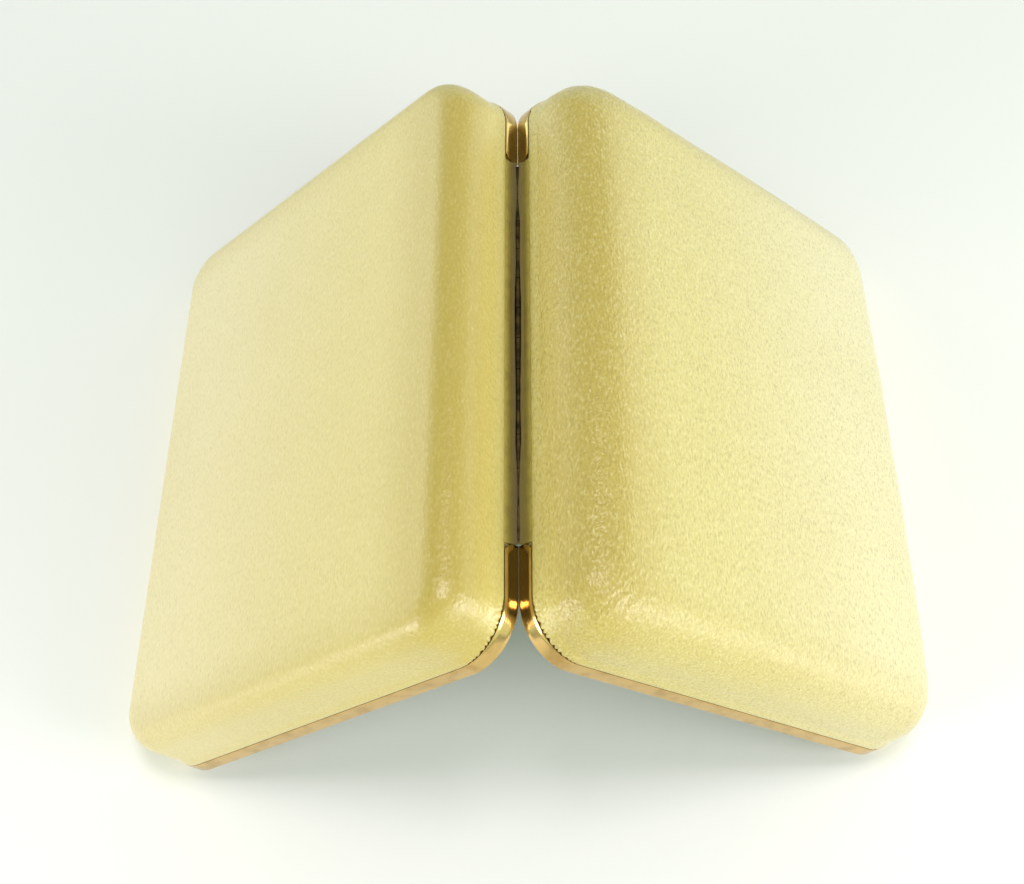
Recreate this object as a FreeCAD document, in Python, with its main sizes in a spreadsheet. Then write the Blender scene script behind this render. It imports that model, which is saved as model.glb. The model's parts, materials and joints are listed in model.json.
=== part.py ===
import FreeCAD, Part
import math
import os

import Sketcher

# A hinged case in two covered halves with gilt rims, standing open like a tent on its front rims.
# Each half is drawn in its own tray frame: the hinge axis along Y through the origin, X from the
# hinge to the front, Z from the rim plane out to the main face. standing() puts a half in its place.
# The catch is drawn in a frame of its own on the base's front wall, with X pointing out of the wall.

SIZES = [
    ("case_length", 150.0, "along the hinge, over the rims"),
    ("case_width", 115.5, "from hinge to front, over the rims"),
    ("base_depth", 19.3, "rim plane to the base's flat main face"),
    ("lid_depth", 22.9, "rim plane to the top of the lid's crown"),
    ("opening_angle", 97.1, "between the rim planes at the open stop"),
    ("corner_radius", 12.5, "plan corners at the rim"),
    ("lid_top_corner_radius", 13.5, "plan corners at the main face, padded"),
    ("base_edge_radius", 7.8, "wall to main face"),
    ("lid_edge_radius", 12.6, "wall to main face, padded"),
    ("lid_crown_radius", 1600.0, "sphere of the padded main face"),
    ("lid_padding", 2.8, "padding under the middle of the lid's leatherette"),
    ("lid_shell_edge_radius", 12.4, "wall to main face of the sheet under the padding"),
    ("wall_draft", 4.0, "degrees that the walls lean in"),
    ("fit_gap", 0.03, "between pieces that seat on each other"),
    ("cut_reach", 20.0, "through cuts, from the middle of their piece"),
    ("cover_thickness", 0.8, "leatherette"),
    ("shell_thickness", 0.7, "pressed sheet"),
    ("liner_thickness", 1.2, "lined card"),
    ("liner_gap", 1.0, "room for the hinge leaf and rivet heads behind the liner"),
    ("liner_edge", 0.4, "rim plane to the liner's edge"),
    ("liner_cut_gap", 1.0, "liner's cut-out round the catch"),
    ("pad_thickness", 5.0, "padded floor panel"),
    ("pad_gap", 3.0, "pad to the liner's wall"),
    ("base_pad_front_gap", 9.0, "keeps the base pad clear of the catch"),
    ("lid_pad_front_gap", 3.0, "pad to the liner's front wall"),
    ("pad_corner", 10.0, "plan corners of the pads"),
    ("pad_draw_in", 1.5, "how far the pads' sides pull in between the corners"),
    ("pad_bulge", 1.2, "how far the pads' sides swell out above the floor"),
    ("pad_shoulder", 1.5, "pads' sides to where the crown starts"),
    ("pad_crown", 9.0, "pads' sides to the flat of the crown"),
    ("rim_thickness", 0.45, "gilt sheet of the rim channel"),
    ("rim_height", 3.6, "outer leg of the channel"),
    ("rim_inner_height", 2.2, "inner leg of the channel"),
    ("rim_width", 2.7, "channel from outer face to inner face"),
    ("rim_round", 0.2, "rolled edge of the channel"),
    ("rim_clearance", 0.06, "hinge axis to each rim's closing face"),
    ("rim_end", 51.0, "middle of the back to the rim's ends"),
    ("rim_end_clip", 1.6, "clipped corner at each end of the rim"),
    ("welt_edge", 0.25, "rim plane to the turned leatherette's edge, past the barrel's ends"),
    ("hinge_setback", 0.06, "hinge axis to the rim's back face"),
    ("hinge_length", 99.6, "strip hinge"),
    ("knuckle_pitch", 8.3, "one knuckle and its gap"),
    ("knuckle_gap", 0.2, "between neighbouring knuckles"),
    ("knuckle_radius", 0.8, "outside of the barrel"),
    ("bore_radius", 0.45, "inside of the barrel"),
    ("pin_radius", 0.42, "hinge wire"),
    ("pin_head_radius", 0.7, "peened ends of the wire"),
    ("pin_head", 0.5, "length of a peened end"),
    ("leaf_thickness", 0.35, "hinge leaf"),
    ("leaf_start", 1.0, "where the leaf clears the other leaf's knuckles"),
    ("leaf_height", 8.0, "leaf up the inside of the back wall"),
    ("hinge_notch", 0.95, "room for the barrel under the back edge"),
    ("hinge_notch_half", 50.8, "half the length of that notch"),
    ("rivet_radius", 0.6, "shank"),
    ("rivet_head_radius", 1.1, "head"),
    ("rivet_head", 0.36, "head height"),
    ("hinge_rivet_height", 5.0, "rivets of the leaves, from the rim plane"),
    ("hinge_rivet_pitch", 20.0, "between the leaves' rivets"),
    ("catch_height", 7.5, "button axis from the rim plane"),
    ("button_radius", 2.0, "push button"),
    ("button_reach", 2.1, "button face from the cover, at rest"),
    ("button_round", 0.9, "rounded edge of the button face"),
    ("collar_radius", 2.9, "stops the button in its bush"),
    ("collar_start", 2.45, "collar's outer face, inside the cover's face"),
    ("collar_end", 3.45, "collar's inner face"),
    ("stem_radius", 1.0, "button's guide stem"),
    ("stem_end", 9.5, "stem's tip, inside the cover's face"),
    ("bush_radius", 2.6, "bush in the wall"),
    ("bush_bore", 2.05, "bush round the button"),
    ("bush_flange_radius", 3.4, "bush on the cover"),
    ("bush_flange", 0.5, "flange thickness"),
    ("bush_end", 2.4, "bush's inner end, inside the cover's face"),
    ("latch_thickness", 0.7, "latch plate"),
    ("latch_half_width", 3.0, "latch plate"),
    ("latch_top", 3.2, "latch plate above the stem"),
    ("latch_reach", 6.6, "latch plate from the stem to the rim"),
    ("housing_half_width", 6.0, "folded housing"),
    ("housing_flange", 10.0, "housing's flanges, from the middle"),
    ("housing_end", 9.2, "housing's back, inside the cover's face"),
    ("housing_sheet", 0.6, "housing sheet"),
    ("housing_height", 7.8, "housing along the wall"),
    ("housing_rivet_half", 8.0, "housing's rivets, from the middle"),
    ("spring_radius", 4.36, "bow spring"),
    ("spring_thickness", 0.3, "bow spring strip"),
    ("spring_width", 4.0, "bow spring strip"),
    ("stem_play", 0.05, "stem in the latch and housing"),
    ("spring_play", 0.3, "stem in the bow spring"),
    ("hook_width", 8.0, "hook along the front"),
    ("hook_top", 8.0, "hook's foot on the lid's wall"),
    ("hook_reach", 2.0, "hook past the rim plane"),
    ("hook_offset", 2.85, "hook's outer face from the rim's front face"),
    ("hook_thickness", 0.55, "hook's neck"),
    ("hook_lip", 0.9, "hook's lip with the neck"),
    ("hook_lip_height", 0.6, "hook's lip"),
    ("hook_rivet_half", 2.5, "hook's rivets, from the middle"),
    ("hook_rivet_height", 5.6, "hook's rivets, from the rim plane"),
]
HINGE_RIVETS = 5
HALF_TURN = 180
RIGHT_ANGLE = HALF_TURN / 2
TOLERANCE = 1e-3
ACROSS = FreeCAD.Vector(0, 1, 0)
UPRIGHT = FreeCAD.Vector(0, 0, 1)

doc = FreeCAD.newDocument("case")
sheet = doc.addObject("Spreadsheet::Sheet", "Sizes")
for row, (alias, value, note) in enumerate(SIZES, 1):
    sheet.set(f"A{row}", alias)
    sheet.set(f"B{row}", str(value))
    sheet.set(f"C{row}", note)
    sheet.setAlias(f"B{row}", alias)
doc.recompute()

# Places that several pieces share, as expressions on the sheet.
LEAN = "tan(Sizes.wall_draft)"
FRONT = "(Sizes.hinge_setback + Sizes.case_width)"
SEAT = "(Sizes.rim_clearance + Sizes.rim_thickness + Sizes.fit_gap)"
COVER_INSET = "(Sizes.rim_thickness + Sizes.fit_gap)"
SHELL_INSET = f"({COVER_INSET} + Sizes.cover_thickness)"
HOLLOW_INSET = f"({SHELL_INSET} + Sizes.shell_thickness)"
LINER_INSET = f"({HOLLOW_INSET} + Sizes.liner_gap)"
WELL_INSET = f"({LINER_INSET} + Sizes.liner_thickness)"
SKIN = "(Sizes.cover_thickness + Sizes.shell_thickness)"
TILT = "(Sizes.opening_angle / 2)"
HINGE_HEIGHT = (
    f"(({FRONT} - Sizes.rim_round) * cos({TILT})"
    f" - (Sizes.rim_clearance + Sizes.rim_round) * sin({TILT}) + Sizes.rim_round)"
)


def size(expression):
    return float(sheet.evalExpression(expression))


def vector(x, y, z):
    return FreeCAD.Vector(size(str(x)), size(str(y)), size(str(z)))


# Sketches.


def new_body(name):
    return doc.addObject("PartDesign::Body", name)


def new_sketch(body, name, plane, lift="0"):
    """A sketch on one of the body's own origin planes, moved by lift along that plane's normal."""
    sketch = body.newObject("Sketcher::SketchObject", name)
    support = [feature for feature in body.Origin.OriginFeatures if feature.Role == plane][0]
    sketch.AttachmentSupport = [(support, "")]
    sketch.MapMode = "FlatFace"
    sketch.setExpression("AttachmentOffset.Base.z", lift)
    return sketch


def tie(sketch, name, expression, kind, *where):
    """Adds a dimension to a sketch and binds it to the sheet."""
    number = sketch.addConstraint(Sketcher.Constraint(kind, *where, size(expression)))
    sketch.renameConstraint(number, name)
    sketch.setExpression(f"Constraints.{name}", expression)


def polygon(sketch, corners):
    """A closed outline of straight lines through corners given as expressions."""
    places = [vector(x, y, 0) for x, y in corners]
    count = len(places)
    for i in range(count):
        sketch.addGeometry(Part.LineSegment(places[i], places[(i + 1) % count]), False)
    for i in range(count):
        sketch.addConstraint(Sketcher.Constraint("Coincident", i, 2, (i + 1) % count, 1))
    for i, (x, y) in enumerate(corners):
        tie(sketch, f"x{i}", x, "DistanceX", -1, 1, i, 1)
        tie(sketch, f"y{i}", y, "DistanceY", -1, 1, i, 1)


def circle(sketch, radius):
    """A circle about the sketch's origin."""
    sketch.addGeometry(Part.Circle(vector(0, 0, 0), UPRIGHT, size(radius)), False)
    sketch.addConstraint(Sketcher.Constraint("Coincident", 0, 3, -1, 1))
    tie(sketch, "radius", radius, "Radius", 0)


def round_corners(back, front, half, corner):
    """The lines and arcs of a rounded rectangle, from its back side's near end round to its far end."""
    inner_back = back + corner
    inner_front = front - corner
    inner_half = half - corner
    quarter = Part.Circle(FreeCAD.Vector(0, 0, 0), UPRIGHT, corner)

    def line(x0, y0, x1, y1):
        return Part.LineSegment(FreeCAD.Vector(x0, y0, 0), FreeCAD.Vector(x1, y1, 0))

    def arc(x, y, quarters):
        bend = quarter.copy()
        bend.Center = FreeCAD.Vector(x, y, 0)
        start = math.radians(quarters * RIGHT_ANGLE)
        return Part.ArcOfCircle(bend, start, start + math.radians(RIGHT_ANGLE))

    return [
        arc(inner_back, -inner_half, 2),
        line(inner_back, -half, inner_front, -half),
        arc(inner_front, -inner_half, 3),
        line(front, -inner_half, front, inner_half),
        arc(inner_front, inner_half, 0),
        line(inner_front, half, inner_back, half),
        arc(inner_back, inner_half, 1),
    ]


def rounded_outline(sketch, inset, corner, gap=None):
    """The case's plan outline, moved in by inset. With a gap, its back side is open over that half gap."""
    back = f"Sizes.hinge_setback + {inset}"
    front = f"{FRONT} - ({inset})"
    half = f"Sizes.case_length / 2 - ({inset})"
    shapes = round_corners(size(back), size(front), size(half), size(corner))
    near = FreeCAD.Vector(size(back), size(corner) - size(half), 0)
    far = FreeCAD.Vector(size(back), size(half) - size(corner), 0)
    if gap is None:
        shapes.append(Part.LineSegment(far, near))
    else:
        shapes.append(Part.LineSegment(far, FreeCAD.Vector(far.x, size(gap), 0)))
        shapes.append(Part.LineSegment(FreeCAD.Vector(near.x, -size(gap), 0), near))
    sketch.addGeometry(shapes, False)
    ring = list(range(7)) + [7] if gap is None else [8] + list(range(7)) + [7]
    follow = ring[1:] + ring[:1] if gap is None else ring[1:]
    for one, other in zip(ring, follow):
        sketch.addConstraint(Sketcher.Constraint("Tangent", one, 2, other, 1))
    for flat in (1, 5):
        sketch.addConstraint(Sketcher.Constraint("Horizontal", flat))
    sketch.addConstraint(Sketcher.Constraint("Vertical", 3))
    for bend in (2, 4, 6):
        sketch.addConstraint(Sketcher.Constraint("Equal", 0, bend))
    tie(sketch, "corner", corner, "Radius", 0)
    tie(sketch, "front", front, "DistanceX", -1, 1, 3, 1)
    tie(sketch, "near", f"-({half})", "DistanceY", -1, 1, 1, 1)
    tie(sketch, "far", half, "DistanceY", -1, 1, 5, 1)
    tie(sketch, "back", back, "DistanceX", -1, 1, 7, 1)
    if gap is not None:
        tie(sketch, "near_end", f"-({gap})", "DistanceY", -1, 1, 8, 1)
        tie(sketch, "far_end", gap, "DistanceY", -1, 1, 7, 2)
        sketch.addConstraint(Sketcher.Constraint("Vertical", 7))
        sketch.addConstraint(Sketcher.Constraint("Vertical", 8))


# Features.


def pad(body, name, sketch, length, symmetric=False):
    feature = body.newObject("PartDesign::Pad", name)
    feature.Profile = sketch
    feature.setExpression("Length", length)
    feature.SideType = "Symmetric" if symmetric else "One side"
    doc.recompute()
    return feature


def revolve(body, name, sketch, axis):
    feature = body.newObject("PartDesign::Revolution", name)
    feature.Profile = sketch
    feature.ReferenceAxis = (sketch, [axis])
    feature.Angle = 360
    doc.recompute()
    return feature


def pocket(body, name, sketch, length):
    """Cuts the sketch both ways from its plane, and stops the build if it cuts nothing."""
    before = body.Tip.Shape.Volume
    feature = body.newObject("PartDesign::Pocket", name)
    feature.Profile = sketch
    feature.setExpression("Length", length)
    feature.SideType = "Symmetric"
    doc.recompute()
    if feature.Shape.Volume > before - TOLERANCE:
        raise RuntimeError(f"{name} cuts nothing")
    return feature


def fillet(body, name, base, edges, radius):
    feature = body.newObject("PartDesign::Fillet", name)
    feature.Base = (base, edges)
    feature.setExpression("Radius", radius)
    doc.recompute()
    return feature


def edges_of_top(shape):
    """Names of the edges between the highest face and the walls round it."""
    top = max(shape.Faces, key=lambda face: face.CenterOfMass.z)
    names = []
    for number, edge in enumerate(shape.Edges, 1):
        owners = shape.ancestorsOfType(edge, Part.Face)
        if len(owners) == 2 and any(face.isSame(top) for face in owners):
            names.append(f"Edge{number}")
    return names


def cut(label, base, *tools):
    """base less each tool in turn. The last result takes the label."""
    for number, tool in enumerate(tools, 1):
        result = doc.addObject("Part::Cut", f"{label}_less_{number}")
        result.Base = base
        result.Tool = tool
        base = result
    doc.recompute()
    base.Label = label
    return base


def block(name, x, y, z, place):
    """A box with sides given as expressions, its lowest corner at place."""
    box = doc.addObject("Part::Box", name)
    box.setExpression("Length", x)
    box.setExpression("Width", y)
    box.setExpression("Height", z)
    box.Placement.Base = place
    return box


def rod(name, radius, start, length, place):
    """A cylinder along X of the frame that place gives, from start over length."""
    cylinder = doc.addObject("Part::Cylinder", name)
    cylinder.setExpression("Radius", radius)
    cylinder.setExpression("Height", length)
    along = FreeCAD.Placement(vector(start, 0, 0), FreeCAD.Rotation(ACROSS, RIGHT_ANGLE))
    cylinder.Placement = place.multiply(along)
    return cylinder


# Where the pieces stand.


def standing(half):
    """Stands a tray frame up: the lid leans to +X, and the base is its twin turned about Z."""
    lean = FreeCAD.Rotation(ACROSS, RIGHT_ANGLE - size(TILT))
    side = FreeCAD.Rotation(UPRIGHT, HALF_TURN if half == "base" else 0)
    return FreeCAD.Placement(vector(0, 0, HINGE_HEIGHT), side.multiply(lean))


def on_wall(x, y, z, turn):
    """A frame on a drafted wall, its X axis square to that wall."""
    return FreeCAD.Placement(vector(x, y, z), FreeCAD.Rotation(ACROSS, size(turn)))


CATCH = on_wall(
    f"{FRONT} - {COVER_INSET} - Sizes.catch_height * {LEAN}", 0, "Sizes.catch_height", "-Sizes.wall_draft"
)

nodes = []


def keep(piece, half, place=None):
    """Puts a finished piece in its half and hands it in under its label."""
    local = FreeCAD.Placement() if place is None else place
    piece.Placement = standing(half).multiply(local)
    nodes.append(piece)


# The nested forms of a half, from the cover's outside to the liner's inside.


def crown(body, name, depth, radius):
    """Rounds the main face off to a sphere, as padding does."""
    middle = "Sizes.hinge_setback + Sizes.case_width / 2"
    reach = "Sizes.case_length * 2 / 3"
    rise = "Sizes.base_depth / 4"
    sketch = new_sketch(body, f"{name}_crown_line", "XZ_Plane")
    x, y, out, up, bend = size(middle), size(depth), size(reach), size(rise), size(radius)
    low = y - bend + (bend * bend - out * out) ** 0.5
    dome = Part.Arc(
        FreeCAD.Vector(x + out, low, 0),
        FreeCAD.Vector(x + out / 2, y - bend + (bend * bend - out * out / 4) ** 0.5, 0),
        FreeCAD.Vector(x, y, 0),
    )
    places = [(x, y), (x, y + up), (x + out, y + up), (x + out, low)]
    corners = [FreeCAD.Vector(*place, 0) for place in places]
    sides = [Part.LineSegment(corners[i], corners[i + 1]) for i in range(3)]
    sketch.addGeometry([dome] + sides, False)
    for one, other in ((0, 1), (1, 2), (2, 3), (3, 0)):
        sketch.addConstraint(Sketcher.Constraint("Coincident", one, 2, other, 1))
    for upright in (1, 3):
        sketch.addConstraint(Sketcher.Constraint("Vertical", upright))
    sketch.addConstraint(Sketcher.Constraint("Horizontal", 2))
    tie(sketch, "radius", radius, "Radius", 0)
    tie(sketch, "centre", middle, "DistanceX", -1, 1, 0, 3)
    tie(sketch, "axis", middle, "DistanceX", -1, 1, 1, 1)
    tie(sketch, "depth", depth, "DistanceY", -1, 1, 1, 1)
    tie(sketch, "rise", rise, "DistanceY", 1, 1, 1, 2)
    tie(sketch, "reach", reach, "DistanceX", 2, 1, 2, 2)
    doc.recompute()
    before = body.Tip.Shape.Volume
    feature = body.newObject("PartDesign::Groove", f"{name}_crown")
    feature.Profile = sketch
    feature.ReferenceAxis = (sketch, ["Edge2"])
    feature.Angle = 360
    doc.recompute()
    if feature.Shape.Volume > before - TOLERANCE:
        raise RuntimeError(f"{name} has no crown")
    return feature


def form(half, layer, inset, sunk, start):
    """A solid with the half's shape, inset from the rim's face and sunk below the main face.

    The lid's cover is padded out to a crown. Everything under it is flat.
    """
    name = f"{half}_{layer}_form"
    is_padded = (half, layer) == ("lid", "cover")
    depth = f"(Sizes.{half}_depth - {sunk})"
    edge = f"Sizes.{half}_edge_radius - ({inset} - {COVER_INSET})"
    if half == "lid" and not is_padded:
        depth = f"({depth} - Sizes.lid_padding)"
        edge = f"Sizes.lid_shell_edge_radius - ({inset} - {SHELL_INSET})"
    body = new_body(name)
    low = new_sketch(body, f"{name}_low", "XY_Plane", start)
    rounded_outline(low, f"{inset} + {start} * {LEAN}", f"Sizes.corner_radius - {inset}")
    if not is_padded:
        last = pad(body, f"{name}_walls", low, f"{depth} - {start}")
        last.setExpression("TaperAngle", "-Sizes.wall_draft")
    else:
        high = new_sketch(body, f"{name}_high", "XY_Plane", depth)
        rounded_outline(high, f"{inset} + {depth} * {LEAN}", f"Sizes.lid_top_corner_radius - {inset}")
        walls = body.newObject("PartDesign::AdditiveLoft", f"{name}_walls")
        walls.Profile = low
        walls.Sections = [high]
        walls.Ruled = True
        doc.recompute()
        last = crown(body, name, depth, "Sizes.lid_crown_radius")
    doc.recompute()
    fillet(body, f"{name}_edge", last, edges_of_top(last.Shape), edge)
    return body


def rivet(name, place, grip):
    """A rivet along X of place: the shank through grip, and its head beyond."""
    length = f"{grip} + Sizes.fit_gap"
    shank = rod(f"{name}_shank", "Sizes.rivet_radius", "Sizes.fit_gap", length, place)
    head = doc.addObject("Part::Cone", f"{name}_head")
    head.setExpression("Radius1", "Sizes.rivet_head_radius")
    head.setExpression("Radius2", "Sizes.rivet_radius")
    head.setExpression("Height", "Sizes.rivet_head")
    along = FreeCAD.Rotation(ACROSS, RIGHT_ANGLE)
    head.Placement = place.multiply(FreeCAD.Placement(vector(length, 0, 0), along))
    whole = doc.addObject("Part::Fuse", name)
    whole.Base = shank
    whole.Tool = head
    return whole


def rivet_row(label, places, grip):
    """Equal rivets as one node, and the holes that they need."""
    row = doc.addObject("Part::Compound", label)
    row.Links = [rivet(f"{label}_{i}", place, grip) for i, place in enumerate(places)]
    holes = doc.addObject("Part::Compound", f"{label}_holes")
    bore = "Sizes.rivet_radius + Sizes.fit_gap"
    start = "-Sizes.cover_thickness / 2"
    length = f"{grip} + Sizes.cover_thickness"
    holes.Links = [
        rod(f"{label}_hole_{i}", bore, start, length, place) for i, place in enumerate(places)
    ]
    row.Label = label
    return row, holes


def hinge_rivet_places():
    height = "Sizes.hinge_rivet_height"
    across = f"Sizes.hinge_setback + {SHELL_INSET} + {height} * {LEAN}"
    offsets = [i - (HINGE_RIVETS - 1) / 2 for i in range(HINGE_RIVETS)]
    return [
        on_wall(across, f"{offset} * Sizes.hinge_rivet_pitch", height, "Sizes.wall_draft")
        for offset in offsets
    ]


def hinge_leaf(half):
    """A folded leaf under the back edge and up inside the back wall, with every second knuckle.

    Both leaves are alike: turned to face each other, the knuckles of one fill the gaps of the other.
    """
    label = f"hinge_{half}_leaf"
    body = new_body(f"{label}_blank")
    inner = f"Sizes.hinge_setback + {HOLLOW_INSET} + Sizes.fit_gap"
    under = "(Sizes.knuckle_radius - Sizes.leaf_thickness)"
    strip = new_sketch(body, f"{label}_fold", "XZ_Plane")
    polygon(
        strip,
        [
            ("Sizes.leaf_start", under),
            (f"{inner} + Sizes.leaf_thickness + {under} * {LEAN}", under),
            (f"{inner} + Sizes.leaf_thickness + Sizes.leaf_height * {LEAN}", "Sizes.leaf_height"),
            (f"{inner} + Sizes.leaf_height * {LEAN}", "Sizes.leaf_height"),
            (f"{inner} + Sizes.knuckle_radius * {LEAN}", "Sizes.knuckle_radius"),
            ("Sizes.leaf_start", "Sizes.knuckle_radius"),
        ],
    )
    pad(body, f"{label}_strip", strip, "Sizes.hinge_length", symmetric=True)
    first = "Sizes.hinge_length / 2 - Sizes.knuckle_gap / 2"
    length = "Sizes.knuckle_pitch - Sizes.knuckle_gap"
    tab = new_sketch(body, f"{label}_tab_line", "XZ_Plane", f"{first} - ({length})")
    polygon(
        tab,
        [
            ("0", under),
            ("Sizes.leaf_start + Sizes.fit_gap", under),
            ("Sizes.leaf_start + Sizes.fit_gap", "Sizes.knuckle_radius"),
            ("0", "Sizes.knuckle_radius"),
        ],
    )
    tabs = pad(body, f"{label}_tab", tab, length)
    ring = new_sketch(body, f"{label}_ring", "XZ_Plane", f"{first} - ({length})")
    circle(ring, "Sizes.knuckle_radius")
    knuckle = pad(body, f"{label}_knuckle", ring, length)
    repeat = body.newObject("PartDesign::LinearPattern", f"{label}_knuckles")
    repeat.Originals = [tabs, knuckle]
    repeat.Direction = (ring, ["N_Axis"])
    repeat.Reversed = True
    repeat.setExpression("Length", "Sizes.hinge_length - 2 * Sizes.knuckle_pitch")
    repeat.Occurrences = round(size("Sizes.hinge_length / Sizes.knuckle_pitch / 2"))
    body.Tip = repeat
    doc.recompute()
    bore = new_sketch(body, f"{label}_bore_line", "XZ_Plane")
    circle(bore, "Sizes.bore_radius")
    pocket(body, f"{label}_bore", bore, "2 * Sizes.hinge_length")
    return body


def hinge_pin():
    """The wire through the knuckles, peened at both ends."""
    body = new_body("hinge_pin")
    end = "(Sizes.hinge_length / 2 + Sizes.fit_gap)"
    tip = f"({end} + Sizes.pin_head)"
    line = new_sketch(body, "hinge_pin_line", "YZ_Plane")
    polygon(
        line,
        [
            (f"-{tip}", "0"),
            (f"-{tip}", "Sizes.pin_radius"),
            (f"-{tip} + Sizes.pin_head / 2", "Sizes.pin_head_radius"),
            (f"-{end}", "Sizes.pin_head_radius"),
            (f"-{end}", "Sizes.pin_radius"),
            (end, "Sizes.pin_radius"),
            (end, "Sizes.pin_head_radius"),
            (f"{tip} - Sizes.pin_head / 2", "Sizes.pin_head_radius"),
            (tip, "Sizes.pin_radius"),
            (tip, "0"),
        ],
    )
    revolve(body, "hinge_pin_turn", line, "H_Axis")
    return body


def rim(half):
    """A gilt channel swept round the half's edge, open along the hinge, with clipped ends."""
    label = f"{half}_rim"
    body = new_body(label)
    path = new_sketch(body, f"{label}_path", "XY_Plane")
    rounded_outline(path, "0", "Sizes.corner_radius", "Sizes.rim_end")
    section = new_sketch(body, f"{label}_section", "XZ_Plane", "Sizes.rim_end")
    face = "Sizes.hinge_setback"
    low = "Sizes.rim_clearance"
    floor = "Sizes.rim_clearance + Sizes.rim_thickness"
    slope = f"(Sizes.rim_height - Sizes.rim_clearance) * {LEAN}"
    polygon(
        section,
        [
            (face, low),
            (f"{face} + Sizes.rim_width", low),
            (f"{face} + Sizes.rim_width", "Sizes.rim_inner_height"),
            (f"{face} + Sizes.rim_width - Sizes.rim_thickness", "Sizes.rim_inner_height"),
            (f"{face} + Sizes.rim_width - Sizes.rim_thickness", floor),
            (f"{face} + Sizes.rim_thickness", floor),
            (f"{face} + Sizes.rim_thickness + {slope}", "Sizes.rim_height"),
            (f"{face} + {slope}", "Sizes.rim_height"),
        ],
    )
    doc.recompute()
    sweep = body.newObject("PartDesign::AdditivePipe", f"{label}_channel")
    sweep.Profile = section
    sweep.Spine = (path, [f"Edge{number}" for number, _ in enumerate(path.Shape.Edges, 1)])
    doc.recompute()
    lowest = size(low)
    edges = []
    for number, edge in enumerate(sweep.Shape.Edges, 1):
        box = edge.BoundBox
        is_end = box.YLength < TOLERANCE and edge.Length < size("Sizes.rim_width") + TOLERANCE
        is_low = abs(box.ZMax - lowest) < TOLERANCE and abs(box.ZMin - lowest) < TOLERANCE
        if is_low and not is_end:
            owners = sweep.Shape.ancestorsOfType(edge, Part.Face)
            if any(abs(abs(owner.normalAt(0, 0).z) - 1) > TOLERANCE for owner in owners):
                edges.append(f"Edge{number}")
    fillet(body, f"{label}_roll", sweep, edges, "Sizes.rim_round")
    clip = new_sketch(body, f"{label}_clip_line", "YZ_Plane")
    corner = "(Sizes.rim_end + Sizes.rim_end_clip)"
    polygon(
        clip,
        [
            (f"-{corner}", "Sizes.rim_height"),
            (corner, "Sizes.rim_height"),
            ("Sizes.rim_end - Sizes.rim_end_clip", "Sizes.rim_height - 2 * Sizes.rim_end_clip"),
            ("-(Sizes.rim_end - Sizes.rim_end_clip)", "Sizes.rim_height - 2 * Sizes.rim_end_clip"),
        ],
    )
    pocket(body, f"{label}_clip", clip, "Sizes.cut_reach")
    return body


def welt(half):
    """The turned strip of leatherette between the rim's ends, flush with the rim."""
    body = new_body(f"{half}_welt_blank")
    line = new_sketch(body, f"{half}_welt_line", "XZ_Plane")
    face = "Sizes.hinge_setback"
    cover = f"{face} + {COVER_INSET} - Sizes.fit_gap"
    polygon(
        line,
        [
            (face, "Sizes.welt_edge"),
            (f"{cover} + Sizes.welt_edge * {LEAN}", "Sizes.welt_edge"),
            (f"{cover} + Sizes.rim_height * {LEAN}", "Sizes.rim_height"),
            (f"{face} + (Sizes.rim_height - Sizes.rim_clearance) * {LEAN}", "Sizes.rim_height"),
        ],
    )
    pad(body, f"{half}_welt_strip", line, "2 * (Sizes.rim_end - Sizes.fit_gap)", symmetric=True)
    return body


def cushion(half, floor):
    """A padded panel: crowned, with sides that pull in between its corners, on the liner's floor."""
    side = f"{WELL_INSET} + Sizes.pad_gap"
    back = size(f"Sizes.hinge_setback + {side}")
    front = size(f"{FRONT} - {WELL_INSET} - Sizes.{half}_pad_front_gap")
    width = size(f"Sizes.case_length / 2 - ({side})")
    corner = size("Sizes.pad_corner")
    draw_in = size("Sizes.pad_draw_in")

    def outline(inset, z):
        arcs = round_corners(back + inset, front - inset, width - inset, corner)
        edges = []
        for bend, after in zip(arcs[0::2], arcs[2::2] + arcs[:1]):
            start = bend.EndPoint
            end = after.StartPoint
            middle = (start + end) * 0.5
            centre = FreeCAD.Vector((back + front) / 2, 0, 0)
            pull = FreeCAD.Vector(centre.x - middle.x, centre.y - middle.y, 0)
            pull.normalize()
            edges.append(bend.toShape())
            edges.append(Part.Arc(start, middle + pull * draw_in, end).toShape())
        wire = Part.Wire(edges)
        wire.translate(FreeCAD.Vector(0, 0, z))
        return wire

    thick = size("Sizes.pad_thickness")
    rows = [
        outline(size("Sizes.pad_bulge"), floor + size("Sizes.liner_thickness")),
        outline(0, floor - thick * 2 / 5),
        outline(size("Sizes.pad_shoulder"), floor - thick * 4 / 5),
        outline(size("Sizes.pad_crown"), floor - thick),
    ]
    blank = doc.addObject("Part::Feature", f"{half}_pad_blank")
    blank.Shape = Part.makeLoft(rows, True, True)
    return blank


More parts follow.
